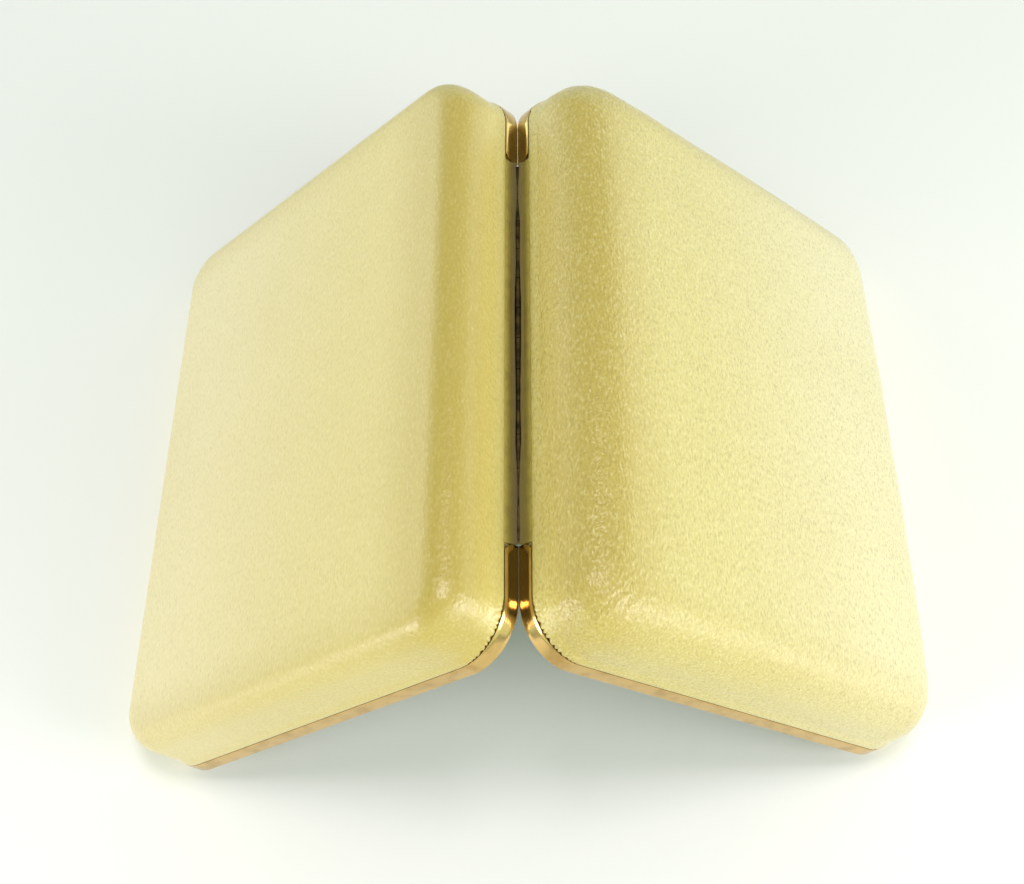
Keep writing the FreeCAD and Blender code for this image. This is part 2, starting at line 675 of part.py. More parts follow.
def half_case(half):
    """Cover, shell, rim, lining and hinge leaf of one half. Returns the tools that the catch cuts with."""
    outer = form(half, "cover", COVER_INSET, "0", SEAT)
    under = form(half, "shell", SHELL_INSET, "Sizes.cover_thickness", SEAT)
    hollow = form(half, "hollow", HOLLOW_INSET, SKIN, SEAT)
    lining = form(half, "liner", LINER_INSET, SKIN, "Sizes.liner_edge")
    well = form(half, "well", WELL_INSET, f"({SKIN} + Sizes.liner_thickness)", "Sizes.liner_edge")
    notch = block(
        f"{half}_hinge_notch",
        "Sizes.rim_width * 2",
        "2 * Sizes.hinge_notch_half",
        "Sizes.hinge_notch",
        vector(0, "-Sizes.hinge_notch_half", 0),
    )
    grip = "Sizes.shell_thickness + Sizes.leaf_thickness"
    rivets, rivet_holes = rivet_row(f"hinge_{half}_rivets", hinge_rivet_places(), grip)
    if half == "base":
        bore = "Sizes.bush_radius + Sizes.fit_gap"
        through = rod("bush_hole", bore, "-Sizes.bush_end", "2 * Sizes.bush_end", CATCH)
        fixings, fixing_holes = housing_rivets()
        liner_gap_half = "(Sizes.housing_flange + Sizes.liner_cut_gap)"
        liner_gap_height = "Sizes.catch_height + Sizes.housing_height / 2 + Sizes.liner_cut_gap"
    else:
        through = None
        fixings, fixing_holes = hook_rivets()
        liner_gap_half = "(Sizes.hook_width / 2 + Sizes.liner_cut_gap)"
        liner_gap_height = "Sizes.hook_top + Sizes.liner_cut_gap"
    gap = block(
        f"{half}_liner_gap",
        f"{WELL_INSET} + 2 * Sizes.liner_thickness",
        f"2 * {liner_gap_half}",
        liner_gap_height,
        vector(f"{FRONT} - {WELL_INSET} - 2 * Sizes.liner_thickness", f"-{liner_gap_half}", 0),
    )
    doc.recompute()
    wall_holes = [] if through is None else [through]
    keep(cut(f"{half}_cover", outer, under, notch, *wall_holes), half)
    keep(cut(f"{half}_shell", under, hollow, notch, rivet_holes, fixing_holes, *wall_holes), half)
    keep(cut(f"{half}_liner", lining, well, gap), half)
    keep(cut(f"{half}_welt", welt(half), notch), half)
    keep(rim(half), half)
    leaf = hinge_leaf(half)
    doc.recompute()
    keep(cut(f"hinge_{half}_leaf", leaf, rivet_holes), half)
    keep(rivets, half)
    keep(fixings, half)
    padding = " - Sizes.lid_padding" if half == "lid" else ""
    floor = size(f"Sizes.{half}_depth - {SKIN} - Sizes.liner_thickness{padding}")
    pad_piece = doc.addObject("Part::Common", f"{half}_pad")
    pad_piece.Base = cushion(half, floor)
    pad_piece.Tool = well
    keep(pad_piece, half)
    return fixing_holes


# The catch.


def housing_rivets():
    inward = FreeCAD.Rotation(UPRIGHT, HALF_TURN)
    places = []
    for side in (-1, 1):
        spot = vector("-Sizes.cover_thickness", f"{side} * Sizes.housing_rivet_half", 0)
        places.append(CATCH.multiply(FreeCAD.Placement(spot, inward)))
    grip = "Sizes.shell_thickness + Sizes.housing_sheet + Sizes.fit_gap"
    return rivet_row("catch_housing_rivets", places, grip)


def hook_rivets():
    across = f"{FRONT} - {SHELL_INSET} - Sizes.hook_rivet_height * {LEAN}"
    turn = "180 - Sizes.wall_draft"
    places = [
        on_wall(across, f"{side} * Sizes.hook_rivet_half", "Sizes.hook_rivet_height", turn)
        for side in (-1, 1)
    ]
    return rivet_row("catch_hook_rivets", places, "Sizes.shell_thickness + Sizes.hook_thickness")


def catch_bush():
    body = new_body("catch_bush")
    line = new_sketch(body, "catch_bush_line", "XY_Plane")
    polygon(
        line,
        [
            ("-Sizes.bush_end", "Sizes.bush_bore"),
            ("Sizes.bush_flange", "Sizes.bush_bore"),
            ("Sizes.bush_flange", "Sizes.bush_flange_radius - Sizes.bush_flange / 2"),
            ("Sizes.bush_flange / 2", "Sizes.bush_flange_radius"),
            ("Sizes.fit_gap", "Sizes.bush_flange_radius"),
            ("Sizes.fit_gap", "Sizes.bush_radius"),
            ("-Sizes.bush_end", "Sizes.bush_radius"),
        ],
    )
    revolve(body, "catch_bush_turn", line, "H_Axis")
    return body


def catch_button():
    """Button, stop collar and guide stem, turned in one piece."""
    body = new_body("catch_button")
    line = new_sketch(body, "catch_button_line", "XY_Plane")
    polygon(
        line,
        [
            ("-Sizes.stem_end", "0"),
            ("-Sizes.stem_end", "Sizes.stem_radius"),
            ("-Sizes.collar_end", "Sizes.stem_radius"),
            ("-Sizes.collar_end", "Sizes.collar_radius"),
            ("-Sizes.collar_start", "Sizes.collar_radius"),
            ("-Sizes.collar_start", "Sizes.button_radius"),
            ("Sizes.button_reach", "Sizes.button_radius"),
            ("Sizes.button_reach", "0"),
        ],
    )
    turned = revolve(body, "catch_button_turn", line, "H_Axis")
    reach = size("Sizes.button_reach")
    edges = [
        f"Edge{number}"
        for number, edge in enumerate(turned.Shape.Edges, 1)
        if abs(edge.BoundBox.XMin - reach) < 1e-3 and edge.Curve.TypeId == "Part::GeomCircle"
    ]
    fillet(body, "catch_button_round", turned, edges, "Sizes.button_round")
    return body


def catch_latch():
    """The plate on the stem whose end holds the lid's hook."""
    body = new_body("catch_latch")
    behind_collar = "-Sizes.collar_end - Sizes.latch_thickness - Sizes.fit_gap"
    line = new_sketch(body, "catch_latch_line", "YZ_Plane", behind_collar)
    polygon(
        line,
        [
            ("-Sizes.latch_half_width", "-Sizes.latch_reach"),
            ("Sizes.latch_half_width", "-Sizes.latch_reach"),
            ("Sizes.latch_half_width", "Sizes.latch_top"),
            ("-Sizes.latch_half_width", "Sizes.latch_top"),
        ],
    )
    pad(body, "catch_latch_plate", line, "Sizes.latch_thickness")
    hole = new_sketch(body, "catch_latch_hole_line", "YZ_Plane")
    circle(hole, "Sizes.stem_radius + Sizes.stem_play")
    pocket(body, "catch_latch_hole", hole, "Sizes.cut_reach")
    return body


def catch_housing():
    """A strip folded to a hat section over the spring, its flanges riveted inside the front wall."""
    body = new_body("catch_housing_blank")
    line = new_sketch(body, "catch_housing_fold", "XY_Plane")
    foot = f"-({SKIN} + Sizes.fit_gap)"
    foot_in = f"-({SKIN} + Sizes.fit_gap + Sizes.housing_sheet)"
    back_in = "-Sizes.housing_end + Sizes.housing_sheet"
    cheek_in = "Sizes.housing_half_width - Sizes.housing_sheet"
    polygon(
        line,
        [
            (foot, "-Sizes.housing_flange"),
            (foot, f"-({cheek_in})"),
            (back_in, f"-({cheek_in})"),
            (back_in, cheek_in),
            (foot, cheek_in),
            (foot, "Sizes.housing_flange"),
            (foot_in, "Sizes.housing_flange"),
            (foot_in, "Sizes.housing_half_width"),
            ("-Sizes.housing_end", "Sizes.housing_half_width"),
            ("-Sizes.housing_end", "-Sizes.housing_half_width"),
            (foot_in, "-Sizes.housing_half_width"),
            (foot_in, "-Sizes.housing_flange"),
        ],
    )
    pad(body, "catch_housing_strip", line, "Sizes.housing_height", symmetric=True)
    hole = new_sketch(body, "catch_housing_hole_line", "YZ_Plane")
    circle(hole, "Sizes.stem_radius + Sizes.stem_play")
    pocket(body, "catch_housing_hole", hole, "Sizes.cut_reach")
    return body


def catch_spring():
    """A bow of spring strip between the housing's back and the latch, with a hole for the stem."""
    start = "-Sizes.housing_end + Sizes.housing_sheet + Sizes.fit_gap"
    turn = FreeCAD.Rotation(UPRIGHT, -RIGHT_ANGLE)
    place = FreeCAD.Placement(vector(start, 0, "-Sizes.spring_width / 2"), turn)
    bows = []
    radii = {"outside": "Sizes.spring_radius", "inside": "Sizes.spring_radius - Sizes.spring_thickness"}
    for name, radius in radii.items():
        bow = doc.addObject("Part::Cylinder", f"catch_spring_{name}")
        bow.setExpression("Radius", radius)
        bow.setExpression("Height", "Sizes.spring_width")
        bow.Angle = HALF_TURN
        bow.Placement = place
        bows.append(bow)
    hole = rod(
        "catch_spring_hole",
        "Sizes.stem_radius + Sizes.spring_play",
        "-Sizes.stem_end",
        "Sizes.stem_end",
        FreeCAD.Placement(),
    )
    return cut("catch_spring", *bows, hole)


def catch_hook():
    """The hook riveted inside the lid's front wall; its lip reaches past the rim plane."""
    body = new_body("catch_hook_blank")
    line = new_sketch(body, "catch_hook_fold", "XZ_Plane")
    wall = f"({FRONT} - {HOLLOW_INSET} - Sizes.fit_gap)"
    neck = f"({FRONT} - Sizes.hook_offset)"
    shoulder = "(Sizes.rim_inner_height + Sizes.hook_thickness)"
    foot = f"({shoulder} + 2 * Sizes.hook_thickness)"
    polygon(
        line,
        [
            (f"{wall} - Sizes.hook_top * {LEAN}", "Sizes.hook_top"),
            (f"{wall} - {shoulder} * {LEAN}", shoulder),
            (neck, shoulder),
            (neck, "-Sizes.hook_reach"),
            (f"{neck} - Sizes.hook_lip", "-Sizes.hook_reach"),
            (f"{neck} - Sizes.hook_lip", "-Sizes.hook_reach + Sizes.hook_lip_height"),
            (f"{neck} - Sizes.hook_thickness", "-Sizes.hook_reach + Sizes.hook_lip_height"),
            (f"{neck} - Sizes.hook_thickness", f"{shoulder} + Sizes.hook_thickness"),
            (f"{wall} - {foot} * {LEAN} - Sizes.hook_thickness", foot),
            (f"{wall} - Sizes.hook_top * {LEAN} - Sizes.hook_thickness", "Sizes.hook_top"),
        ],
    )
    pad(body, "catch_hook_strip", line, "Sizes.hook_width", symmetric=True)
    return body


fixing_holes = {half: half_case(half) for half in ("base", "lid")}
keep(hinge_pin(), "base")
for make in (catch_bush, catch_button, catch_latch, catch_spring):
    piece = make()
    keep(piece, "base", CATCH)
housing_piece = catch_housing()
housing_piece.Placement = CATCH
doc.recompute()
keep(cut("catch_housing", housing_piece, fixing_holes["base"]), "base")
keep(cut("catch_hook", catch_hook(), fixing_holes["lid"]), "lid")
doc.recompute()

failed = [item.Label for item in doc.Objects if {"Invalid", "Error"} & set(item.State)]
for piece in nodes:
    if piece.Shape.isNull() or not piece.Shape.isValid() or not piece.Shape.Solids:
        failed.append(piece.Label)
if failed:
    raise RuntimeError(f"not built: {failed}")

os.makedirs("parts", exist_ok=True)
for piece in nodes:
    piece.Shape.exportStep(f"parts/{piece.Label}.step")
    print(piece.Label, round(piece.Shape.Volume, 1), "mm3,", len(piece.Shape.Solids), "solids")
print("hinge axis height", round(size(HINGE_HEIGHT), 4))
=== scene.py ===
import json
import math

import bpy
import numpy as np
from mathutils import Matrix, Vector, noise


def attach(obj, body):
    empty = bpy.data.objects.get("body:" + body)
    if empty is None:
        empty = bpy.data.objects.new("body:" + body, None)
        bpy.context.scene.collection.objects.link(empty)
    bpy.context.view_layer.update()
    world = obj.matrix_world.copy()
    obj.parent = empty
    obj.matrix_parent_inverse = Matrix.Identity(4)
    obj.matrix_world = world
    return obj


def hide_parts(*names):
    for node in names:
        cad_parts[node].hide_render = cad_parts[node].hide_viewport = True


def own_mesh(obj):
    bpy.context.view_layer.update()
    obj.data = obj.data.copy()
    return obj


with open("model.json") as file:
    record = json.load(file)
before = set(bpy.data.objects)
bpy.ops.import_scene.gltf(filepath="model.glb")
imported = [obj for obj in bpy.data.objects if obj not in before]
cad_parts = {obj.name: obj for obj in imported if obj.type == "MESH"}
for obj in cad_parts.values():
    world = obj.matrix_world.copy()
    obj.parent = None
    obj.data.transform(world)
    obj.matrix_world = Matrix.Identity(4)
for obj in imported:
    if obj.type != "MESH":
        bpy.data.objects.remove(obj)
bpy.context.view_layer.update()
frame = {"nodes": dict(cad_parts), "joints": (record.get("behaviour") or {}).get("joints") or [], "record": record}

# A hinged case in two leatherette halves with gilt rims, standing open like a tent. All sizes in metres.
# Each half is drawn in its tray frame: u from the hinge to the front, v along the hinge, and w from
# the rim plane out to the main face. tray() puts it in its place.

MM = 0.001
HALVES = ("base", "lid")
DRAFT = math.radians(4)
SLOPE = math.tan(DRAFT)


def joint(name):
    """One of the frame's joints."""
    return next(found for found in frame["joints"] if found["name"] == name)


HINGE = Vector(joint("lid_hinge")["pos_m"])
OPENING = math.radians(joint("lid_hinge")["range_deg"][1])


def tray(half):
    """From a half's tray frame to the shared frame, while the case stands open."""
    turn = Matrix.Rotation(math.pi if half == "base" else 0, 4, "Z")
    return Matrix.Translation(HINGE) @ turn @ Matrix.Rotation((math.pi - OPENING) / 2, 4, "Y")


def reach(node, half):
    """Lowest and highest corner of a CAD node in its half's tray frame."""
    places = np.array([vertex.co for vertex in frame["nodes"][node].data.vertices])
    back = np.array(tray(half).inverted())
    local = places @ back[:3, :3].T + back[:3, 3]
    return local.min(0), local.max(0)


RIM_LOW, RIM_HIGH = reach("base_rim", "base")
BACK = RIM_LOW[0]
FRONT = RIM_HIGH[0]
SIDE = RIM_HIGH[1]
CORNER = 12.5 * MM
COVER_INSET = 0.48 * MM
COVER_THICKNESS = 0.75 * MM
RIM_HEIGHT = RIM_HIGH[2]
RIM_MEET = 0.055 * MM
RIM_FLOOR = RIM_LOW[2] - RIM_MEET
RIM_END = 51 * MM
RIM_CLIP = 1.6 * MM


# Materials.


def srgb(red, green, blue):
    """A colour given in the usual 0 to 255 steps, as the shader's linear values."""
    steps = [channel / 255 for channel in (red, green, blue)]
    linear = [s / 12.92 if s <= 0.04045 else ((s + 0.055) / 1.055) ** 2.4 for s in steps]
    return (*linear, 1)


class Finish:
    """A material made of nodes. Values that are the same all over go straight on the shader."""

    def __init__(self, name, **constants):
        self.material = bpy.data.materials.new(name)
        self.material.use_nodes = True
        self.tree = self.material.node_tree
        self.shader = self.tree.nodes["Principled BSDF"]
        for socket, value in constants.items():
            self.shader.inputs[socket.replace("_", " ")].default_value = value
        self.place = self.node("ShaderNodeTexCoord").outputs["Object"]

    def node(self, kind, inputs=None, **settings):
        made = self.tree.nodes.new(kind)
        for setting, value in settings.items():
            setattr(made, setting, value)
        for socket, value in (inputs or {}).items():
            if isinstance(value, bpy.types.NodeSocket):
                self.tree.links.new(value, made.inputs[socket])
            else:
                made.inputs[socket].default_value = value
        return made

    def vector(self, operation, first, second, output=0):
        return self.node("ShaderNodeVectorMath", {0: first, 1: second}, operation=operation).outputs[output]

    def set(self, socket, value):
        self.tree.links.new(value, self.shader.inputs[socket])

    def noise(self, size, detail=2.0, place=None):
        """Soft noise whose blotches are about that size."""
        inputs = {"Vector": place or self.place, "Scale": 1 / size, "Detail": detail}
        return self.node("ShaderNodeTexNoise", inputs).outputs[0]

    def cells(self, size, place):
        """Distance from the middle of irregular cells of about that size."""
        inputs = {"Vector": place, "Scale": 1 / size}
        return self.node("ShaderNodeTexVoronoi", inputs, feature="F1").outputs["Distance"]

    def warped(self, size, amount):
        """The place, shaken by noise."""
        inputs = {"Vector": self.place, "Scale": 1 / size, "Detail": 2}
        shake = self.node("ShaderNodeTexNoise", inputs).outputs["Color"]
        centred = self.vector("SUBTRACT", shake, (0.5,) * 3)
        return self.vector("ADD", self.place, self.vector("MULTIPLY", centred, (amount,) * 3))

    def stretched(self, scale):
        """The place, squeezed along each axis."""
        return self.vector("MULTIPLY", self.place, scale)

    def along(self, direction, start):
        """How far the place lies from the start, along a direction."""
        return self.vector("DOT_PRODUCT", self.vector("SUBTRACT", self.place, start), direction, "Value")

    def span(self, value, low, high, to_low=0.0, to_high=1.0):
        """A smooth step from one value to another while the input goes from low to high."""
        inputs = {"Value": value, "From Min": low, "From Max": high, "To Min": to_low, "To Max": to_high}
        return self.node("ShaderNodeMapRange", inputs, interpolation_type="SMOOTHSTEP").outputs[0]

    def calc(self, operation, first, second):
        return self.node("ShaderNodeMath", {0: first, 1: second}, operation=operation).outputs[0]

    def mix(self, factor, first, second):
        inputs = {0: factor, 6: first, 7: second}
        return self.node("ShaderNodeMix", inputs, data_type="RGBA").outputs[2]

    def bump(self, height, depth, socket="Normal"):
        inputs = {"Height": height, "Distance": depth, "Strength": 1}
        self.set(socket, self.node("ShaderNodeBump", inputs).outputs[0])


# Tones of the leatherette: near the hinge, over the main face, at the front, on the turned edge and in the slit.
# Then the tones that lie over them.
# The darker, yellower tones near the hinge and in the slit are painted shade; the paler tone at the front is
# painted sheen.
SPINE_SHADE_TONE = {"base": srgb(192, 169, 73), "lid": srgb(192, 169, 72)}
FACE_TONE = {"base": srgb(211, 192, 111), "lid": srgb(209, 193, 112)}
FRONT_SHEEN_TONE = {"base": srgb(223, 207, 153), "lid": srgb(229, 218, 170)}
EDGE_TONE = {"base": srgb(205, 184, 84), "lid": srgb(204, 184, 82)}
SLIT_SHADE = {"base": srgb(98, 76, 32), "lid": srgb(116, 98, 44)}
# Painted light for the lower back wall near the hinge.
PAINTED_WALL_LIGHT = srgb(238, 221, 132)
# The grain's crowns are partly wear and partly painted highlight. Its valleys are partly dirt and partly painted
# shade.
WORN_AND_LIT = srgb(250, 241, 190)
VALLEY_DIRT_AND_SHADE = srgb(160, 137, 62)
# A dark line above the rim, partly grime and partly painted shadow in the crevice.
SHADOW_AND_GRIME = srgb(84, 66, 26)

# Where the tones change: from the hinge, from the middle of the length, and up from the rim plane. They also place
# the painted shade at the ends, in the slit and above the rim, and the painted light low on the back wall.
FACE_STARTS = (7 * MM, 27 * MM)
FRONT_STARTS = (20 * MM, FRONT)
BACK_WALL = (1.5 * MM, 5 * MM)
SLIT_WALL = (1.2 * MM, 2.4 * MM)
END_WALL_SHADE = (58 * MM, 72 * MM)
SLIT_END = (RIM_END, RIM_END + 0.6 * MM)
LOW_WALL = (5 * MM, 13 * MM)
SHADOW_AND_GRIME_LINE = (3.75 * MM, 4.0 * MM)
SLIT_START = 0.6 * MM
SLIT_FADE = {"base": 5.2 * MM, "lid": 5 * MM}

GRAIN_DEPTH = {"base": 0.11 * MM, "lid": 0.21 * MM}
# How strongly the grain's colour follows its relief: partly dirt and wear, partly painted shade in the valleys and
# painted highlight on the crowns.
GRAIN_DIRT_AND_SHADE = {"base": 0.2, "lid": 0.4}
GRAIN_IN_COAT = 0.8
GRAIN_WARP = (2.2 * MM, 1.0 * MM)
PEBBLE_SIZE = 0.95 * MM
PORE_SIZE = 0.46 * MM
PORE_STRETCH = (1, 0.42, 1)
FOLD_SIZE = 4 * MM
EDGE_PORE_SIZE = 0.42 * MM
BLOTCH_SIZE = 38 * MM


def distances(finish, half):
    """How far a place lies from the hinge, from the rim plane and from the middle of the length."""
    turn = tray(half).to_3x3()
    from_hinge = finish.along(turn @ Vector((1, 0, 0)), HINGE)
    from_rim = finish.along(turn @ Vector((0, 0, 1)), HINGE)
    from_middle = finish.calc("ABSOLUTE", finish.along((0, 1, 0), HINGE), 0)
    return from_hinge, from_rim, from_middle


def slit_shade(finish, half):
    """How much painted shade browns the leatherette towards the slit, and 1 along the back between the rims' ends.
    """
    from_hinge, from_rim, from_middle = distances(finish, half)
    at_back = finish.span(from_hinge, *SLIT_WALL, 1.0, 0.0)
    between = finish.span(from_middle, *SLIT_END, 1.0, 0.0)
    open_edge = finish.calc("MULTIPLY", at_back, between)
    slit_shaded = finish.span(from_rim, SLIT_START, SLIT_FADE[half], 0.95, 0.0)
    return finish.calc("MULTIPLY", slit_shaded, open_edge), open_edge


def leatherette(half):
    """Cream leatherette with a pebbled grain and fine wrinkles, with painted shade darker and yellower towards the
    hinge and a painted sheen paler towards the front.
    """
    finish = Finish(f"{half}_leatherette", Coat_Weight=1.0, Coat_Roughness=0.32, Coat_IOR=1.6)
    pebbles = finish.span(finish.cells(PEBBLE_SIZE, finish.warped(*GRAIN_WARP)), 0.05, 0.7, 0.3, 0.0)
    pores = finish.noise(PORE_SIZE, 3, finish.stretched(PORE_STRETCH))
    winding = finish.calc("ABSOLUTE", finish.calc("SUBTRACT", finish.noise(FOLD_SIZE, 3), 0.5), 0)
    folds = finish.span(winding, 0.0, 0.12, 0.0, 0.2)
    height = finish.calc("ADD", finish.calc("ADD", pebbles, pores), folds)
    finish.bump(height, GRAIN_DEPTH[half])
    finish.bump(height, GRAIN_DEPTH[half] * GRAIN_IN_COAT, "Coat Normal")
    finish.set("Roughness", finish.span(height, 0.4, 1.1, 0.5, 0.38))

    spine = SPINE_SHADE_TONE[half]
    dirt_and_shade = GRAIN_DIRT_AND_SHADE[half]
    from_hinge, from_rim, from_middle = distances(finish, half)
    # Painted shade: darker and yellower near the hinge. Painted sheen: paler towards the front.
    tone = finish.mix(finish.span(from_hinge, *FACE_STARTS), spine, FACE_TONE[half])
    tone = finish.mix(finish.span(from_hinge, *FRONT_STARTS), tone, FRONT_SHEEN_TONE[half])
    # Painted shade: darker towards both ends of the length.
    tone = finish.mix(finish.span(from_middle, *END_WALL_SHADE, 0.0, 0.45), tone, spine)
    # Painted light: paler low on the back wall near the hinge, where the groove lies in shade.
    low_wall = finish.span(from_rim, *LOW_WALL, 0.55, 0.0)
    low_back = finish.calc("MULTIPLY", low_wall, finish.span(from_hinge, *BACK_WALL, 1.0, 0.0))
    tone = finish.mix(low_back, tone, PAINTED_WALL_LIGHT)
    tone = finish.mix(finish.span(finish.noise(BLOTCH_SIZE, 3), 0.4, 0.8, 0.0, 0.12), tone, spine)
    # Grain colour: darker valleys and paler crowns, partly dirt and wear, partly painted shade and painted
    # highlight.
    tone = finish.mix(finish.span(pores, 0.28, 0.5, 1.1 * dirt_and_shade, 0.0), tone, VALLEY_DIRT_AND_SHADE)
    tone = finish.mix(finish.span(pores, 0.5, 0.72, 0.0, 0.7 * dirt_and_shade), tone, WORN_AND_LIT)
    # Painted shade: browner and darker towards the slit between the rims' ends.
    slit_shaded, open_edge = slit_shade(finish, half)
    tone = finish.mix(slit_shaded, tone, SLIT_SHADE[half])
    # A dark line just above the rim, partly grime and partly painted shadow in the crevice, except between the
    # rims' ends.
    line = finish.span(from_rim, *SHADOW_AND_GRIME_LINE, 0.85, 0.0)
    line = finish.calc("MULTIPLY", line, finish.calc("SUBTRACT", 1.0, open_edge))
    finish.set("Base Color", finish.mix(line, tone, SHADOW_AND_GRIME))
    return finish.material


def turned_edge(half):
    """The leatherette's turned edge, duller than the cover, with painted shade that browns and darkens it into the
    slit.
    """
    finish = Finish(f"{half}_turned_edge", Coat_Weight=0.3, Coat_Roughness=0.45, Specular_IOR_Level=0.4)
    pores = finish.noise(EDGE_PORE_SIZE, 2)
    # Painted shade, browner and darker into the slit.
    slit_shaded, _ = slit_shade(finish, half)
    tone = finish.mix(slit_shaded, EDGE_TONE[half], SLIT_SHADE[half])
    stains = finish.span(finish.noise(3 * MM, 4), 0.4, 0.7, 0.0, 0.3)
    finish.set("Base Color", finish.mix(stains, tone, SLIT_SHADE[half]))
    finish.set("Roughness", finish.span(pores, 0.3, 0.7, 0.5, 0.7))
    finish.bump(pores, 0.15 * MM)
    return finish.material


def gilt():
    """Polished gilt with faint brushing and a little tarnish."""
    finish = Finish("gilt", Metallic=1.0)
    tarnish = finish.span(finish.noise(5 * MM, 4), 0.42, 0.72)
    finish.set("Base Color", finish.mix(tarnish, srgb(210, 177, 113), srgb(184, 150, 90)))
    specks = finish.span(finish.noise(0.6 * MM, 3), 0.5, 0.75)
    rough = finish.calc("MULTIPLY", finish.calc("ADD", tarnish, specks), 0.06)
    finish.set("Roughness", finish.calc("ADD", rough, 0.12))
    finish.bump(finish.noise(0.5 * MM, 3), 0.004 * MM)
    return finish.material


def dull_metal(name, light, dark, roughness):
    """Plain metal with stains and fine scratches."""
    finish = Finish(name, Metallic=1.0)
    stains = finish.span(finish.noise(3 * MM, 4), 0.35, 0.7)
    finish.set("Base Color", finish.mix(stains, light, dark))
    scratches = finish.noise(0.3 * MM, 3, finish.stretched((1, 0.12, 1)))
    finish.set("Roughness", finish.span(scratches, 0.3, 0.7, roughness - 0.1, roughness + 0.12))
    finish.bump(scratches, 0.01 * MM)
    return finish.material


def lacquer():
    """Lacquered pressed sheet with orange peel."""
    finish = Finish("lacquer", Coat_Weight=0.3, Coat_Roughness=0.2)
    finish.set("Base Color", finish.mix(finish.noise(8 * MM, 3), srgb(120, 112, 98), srgb(92, 86, 76)))
    finish.set("Roughness", finish.span(finish.noise(1.5 * MM), 0.3, 0.7, 0.4, 0.55))
    finish.bump(finish.noise(0.9 * MM), 0.02 * MM)
    return finish.material


def satin():
    """Satin over card: fine ribs along the hinge's direction and a soft sheen."""
    finish = Finish("satin", Sheen_Weight=0.35, Sheen_Roughness=0.3)
    inputs = {"Vector": finish.place, "Scale": 1 / (7 * MM), "Distortion": 0.4, "Detail": 1.0}
    ribs = finish.node("ShaderNodeTexWave", inputs, bands_direction="Y").outputs["Fac"]
    threads = finish.noise(0.35 * MM, 2, finish.stretched((0.15, 1, 0.15)))
    colour = finish.mix(finish.noise(14 * MM, 3), srgb(170, 181, 140), srgb(152, 165, 122))
    finish.set("Base Color", finish.mix(finish.calc("MULTIPLY", ribs, 0.35), colour, srgb(118, 132, 92)))
    finish.set("Roughness", finish.span(threads, 0.3, 0.7, 0.32, 0.5))
    finish.bump(finish.calc("ADD", ribs, finish.calc("MULTIPLY", threads, 0.4)), 0.08 * MM)
    return finish.material


def velvet():
    """Short-pile velvet with brushed patches."""
    finish = Finish("velvet", Sheen_Weight=0.8, Sheen_Roughness=0.35, Roughness=0.85)
    brushed = finish.span(finish.noise(13 * MM, 4), 0.36, 0.66)
    pile = finish.noise(0.3 * MM, 3)
    colour = finish.mix(brushed, srgb(122, 142, 100), srgb(98, 120, 80))
    finish.set("Base Color", finish.mix(finish.span(pile, 0.35, 0.65), srgb(74, 94, 60), colour))
    finish.bump(finish.calc("ADD", pile, brushed), 0.12 * MM)
    return finish.material


def raw_edge():
    """The cut edge of the leatherette, with its grey cloth backing."""
    finish = Finish("raw_edge", Roughness=0.8)
    finish.set("Base Color", finish.mix(finish.noise(0.8 * MM, 3), srgb(176, 168, 140), srgb(128, 116, 84)))
    finish.bump(finish.noise(0.3 * MM), 0.05 * MM)
    return finish.material


def table_top():
    """A plain pale floor."""
    finish = Finish("table_top", Roughness=0.7, Specular_IOR_Level=0.2)
    finish.set("Base Color", finish.mix(finish.noise(0.3, 2), srgb(249, 249, 247), srgb(246, 247, 244)))
    return finish.material


CREAM = {half: leatherette(half) for half in HALVES}
TURNED_EDGE = {half: turned_edge(half) for half in HALVES}
GILT = gilt()
RAW_EDGE = raw_edge()
VELVET = velvet()


# Outlines.


class Plan:
    """A rounded plan outline, walked anticlockwise from the middle of its front far corner.

    Each station lies on a corner's arc, or between the ends of two arcs. walk() places the stations
    with an inset for each one. Where widen is over 0, the corners grow rounder as the outline shrinks.
    """

    SIGNS = np.array([(1, 1), (-1, 1), (-1, -1), (1, -1)])

    def __init__(self, back, front, side, corner, bend_steps, across_steps, along_steps, widen=0.0):
        middle = (back + front) / 2
        half = np.array([(front - back) / 2 - corner, side - corner])
        self.centres = np.array([middle, 0]) + self.SIGNS * half
        self.corner = corner
        self.widen = widen
        stations = []
        for number in range(4):
            bends = np.linspace(number, number + 1, bend_steps + 1)
            stations += [(number, number, bend, 0) for bend in bends]
            sides = across_steps if number % 2 == 0 else along_steps
            after = (number + 1) % 4
            stations += [(number, after, number + 1, step / sides) for step in range(1, sides)]
        start = bend_steps // 2
        stations = stations[start:] + stations[:start]
        self.first, self.second, quarters, self.between = np.array(stations).T
        self.first = self.first.astype(int)
        self.second = self.second.astype(int)
        self.angle = quarters * math.pi / 2
        self.out = np.stack([np.cos(self.angle), np.sin(self.angle)], 1)
        self.across = bend_steps + across_steps
        self.along = bend_steps + along_steps
        self.count = len(stations)

    def walk(self, inset):
        """The stations' places, moved in by the inset."""
        inset = np.broadcast_to(np.asarray(inset, float), self.count)[:, None]
        radial = (self.corner - (1 - self.widen) * inset) * self.out
        ends = [
            self.centres[corner] - self.SIGNS[corner] * self.widen * inset + radial
            for corner in (self.first, self.second)
        ]
        share = self.between[:, None]
        return ends[0] * (1 - share) + ends[1] * share

    def by_side(self, front, side, back):
        """A value for each station, from those of the front, the two sides and the back."""
        ahead = np.cos(self.angle)
        return np.where(ahead > 0, front, back) * ahead**2 + side * (1 - ahead**2)

    def bend(self):
        """1 at the middle of each corner, 0 on the straight sides."""
        return np.sin(2 * self.angle) ** 2 * (self.between == 0)


def lift(points, heights):
    """Plan points, raised to their heights."""
    return np.column_stack([points, np.broadcast_to(heights, len(points))])


def strips(rows, count):
    """Quads between neighbouring closed rows of count points."""
    quads = []
    for row in range(rows - 1):
        low = row * count
        high = low + count
        quads += [(low + i, low + (i + 1) % count, high + (i + 1) % count, high + i) for i in range(count)]
    return quads


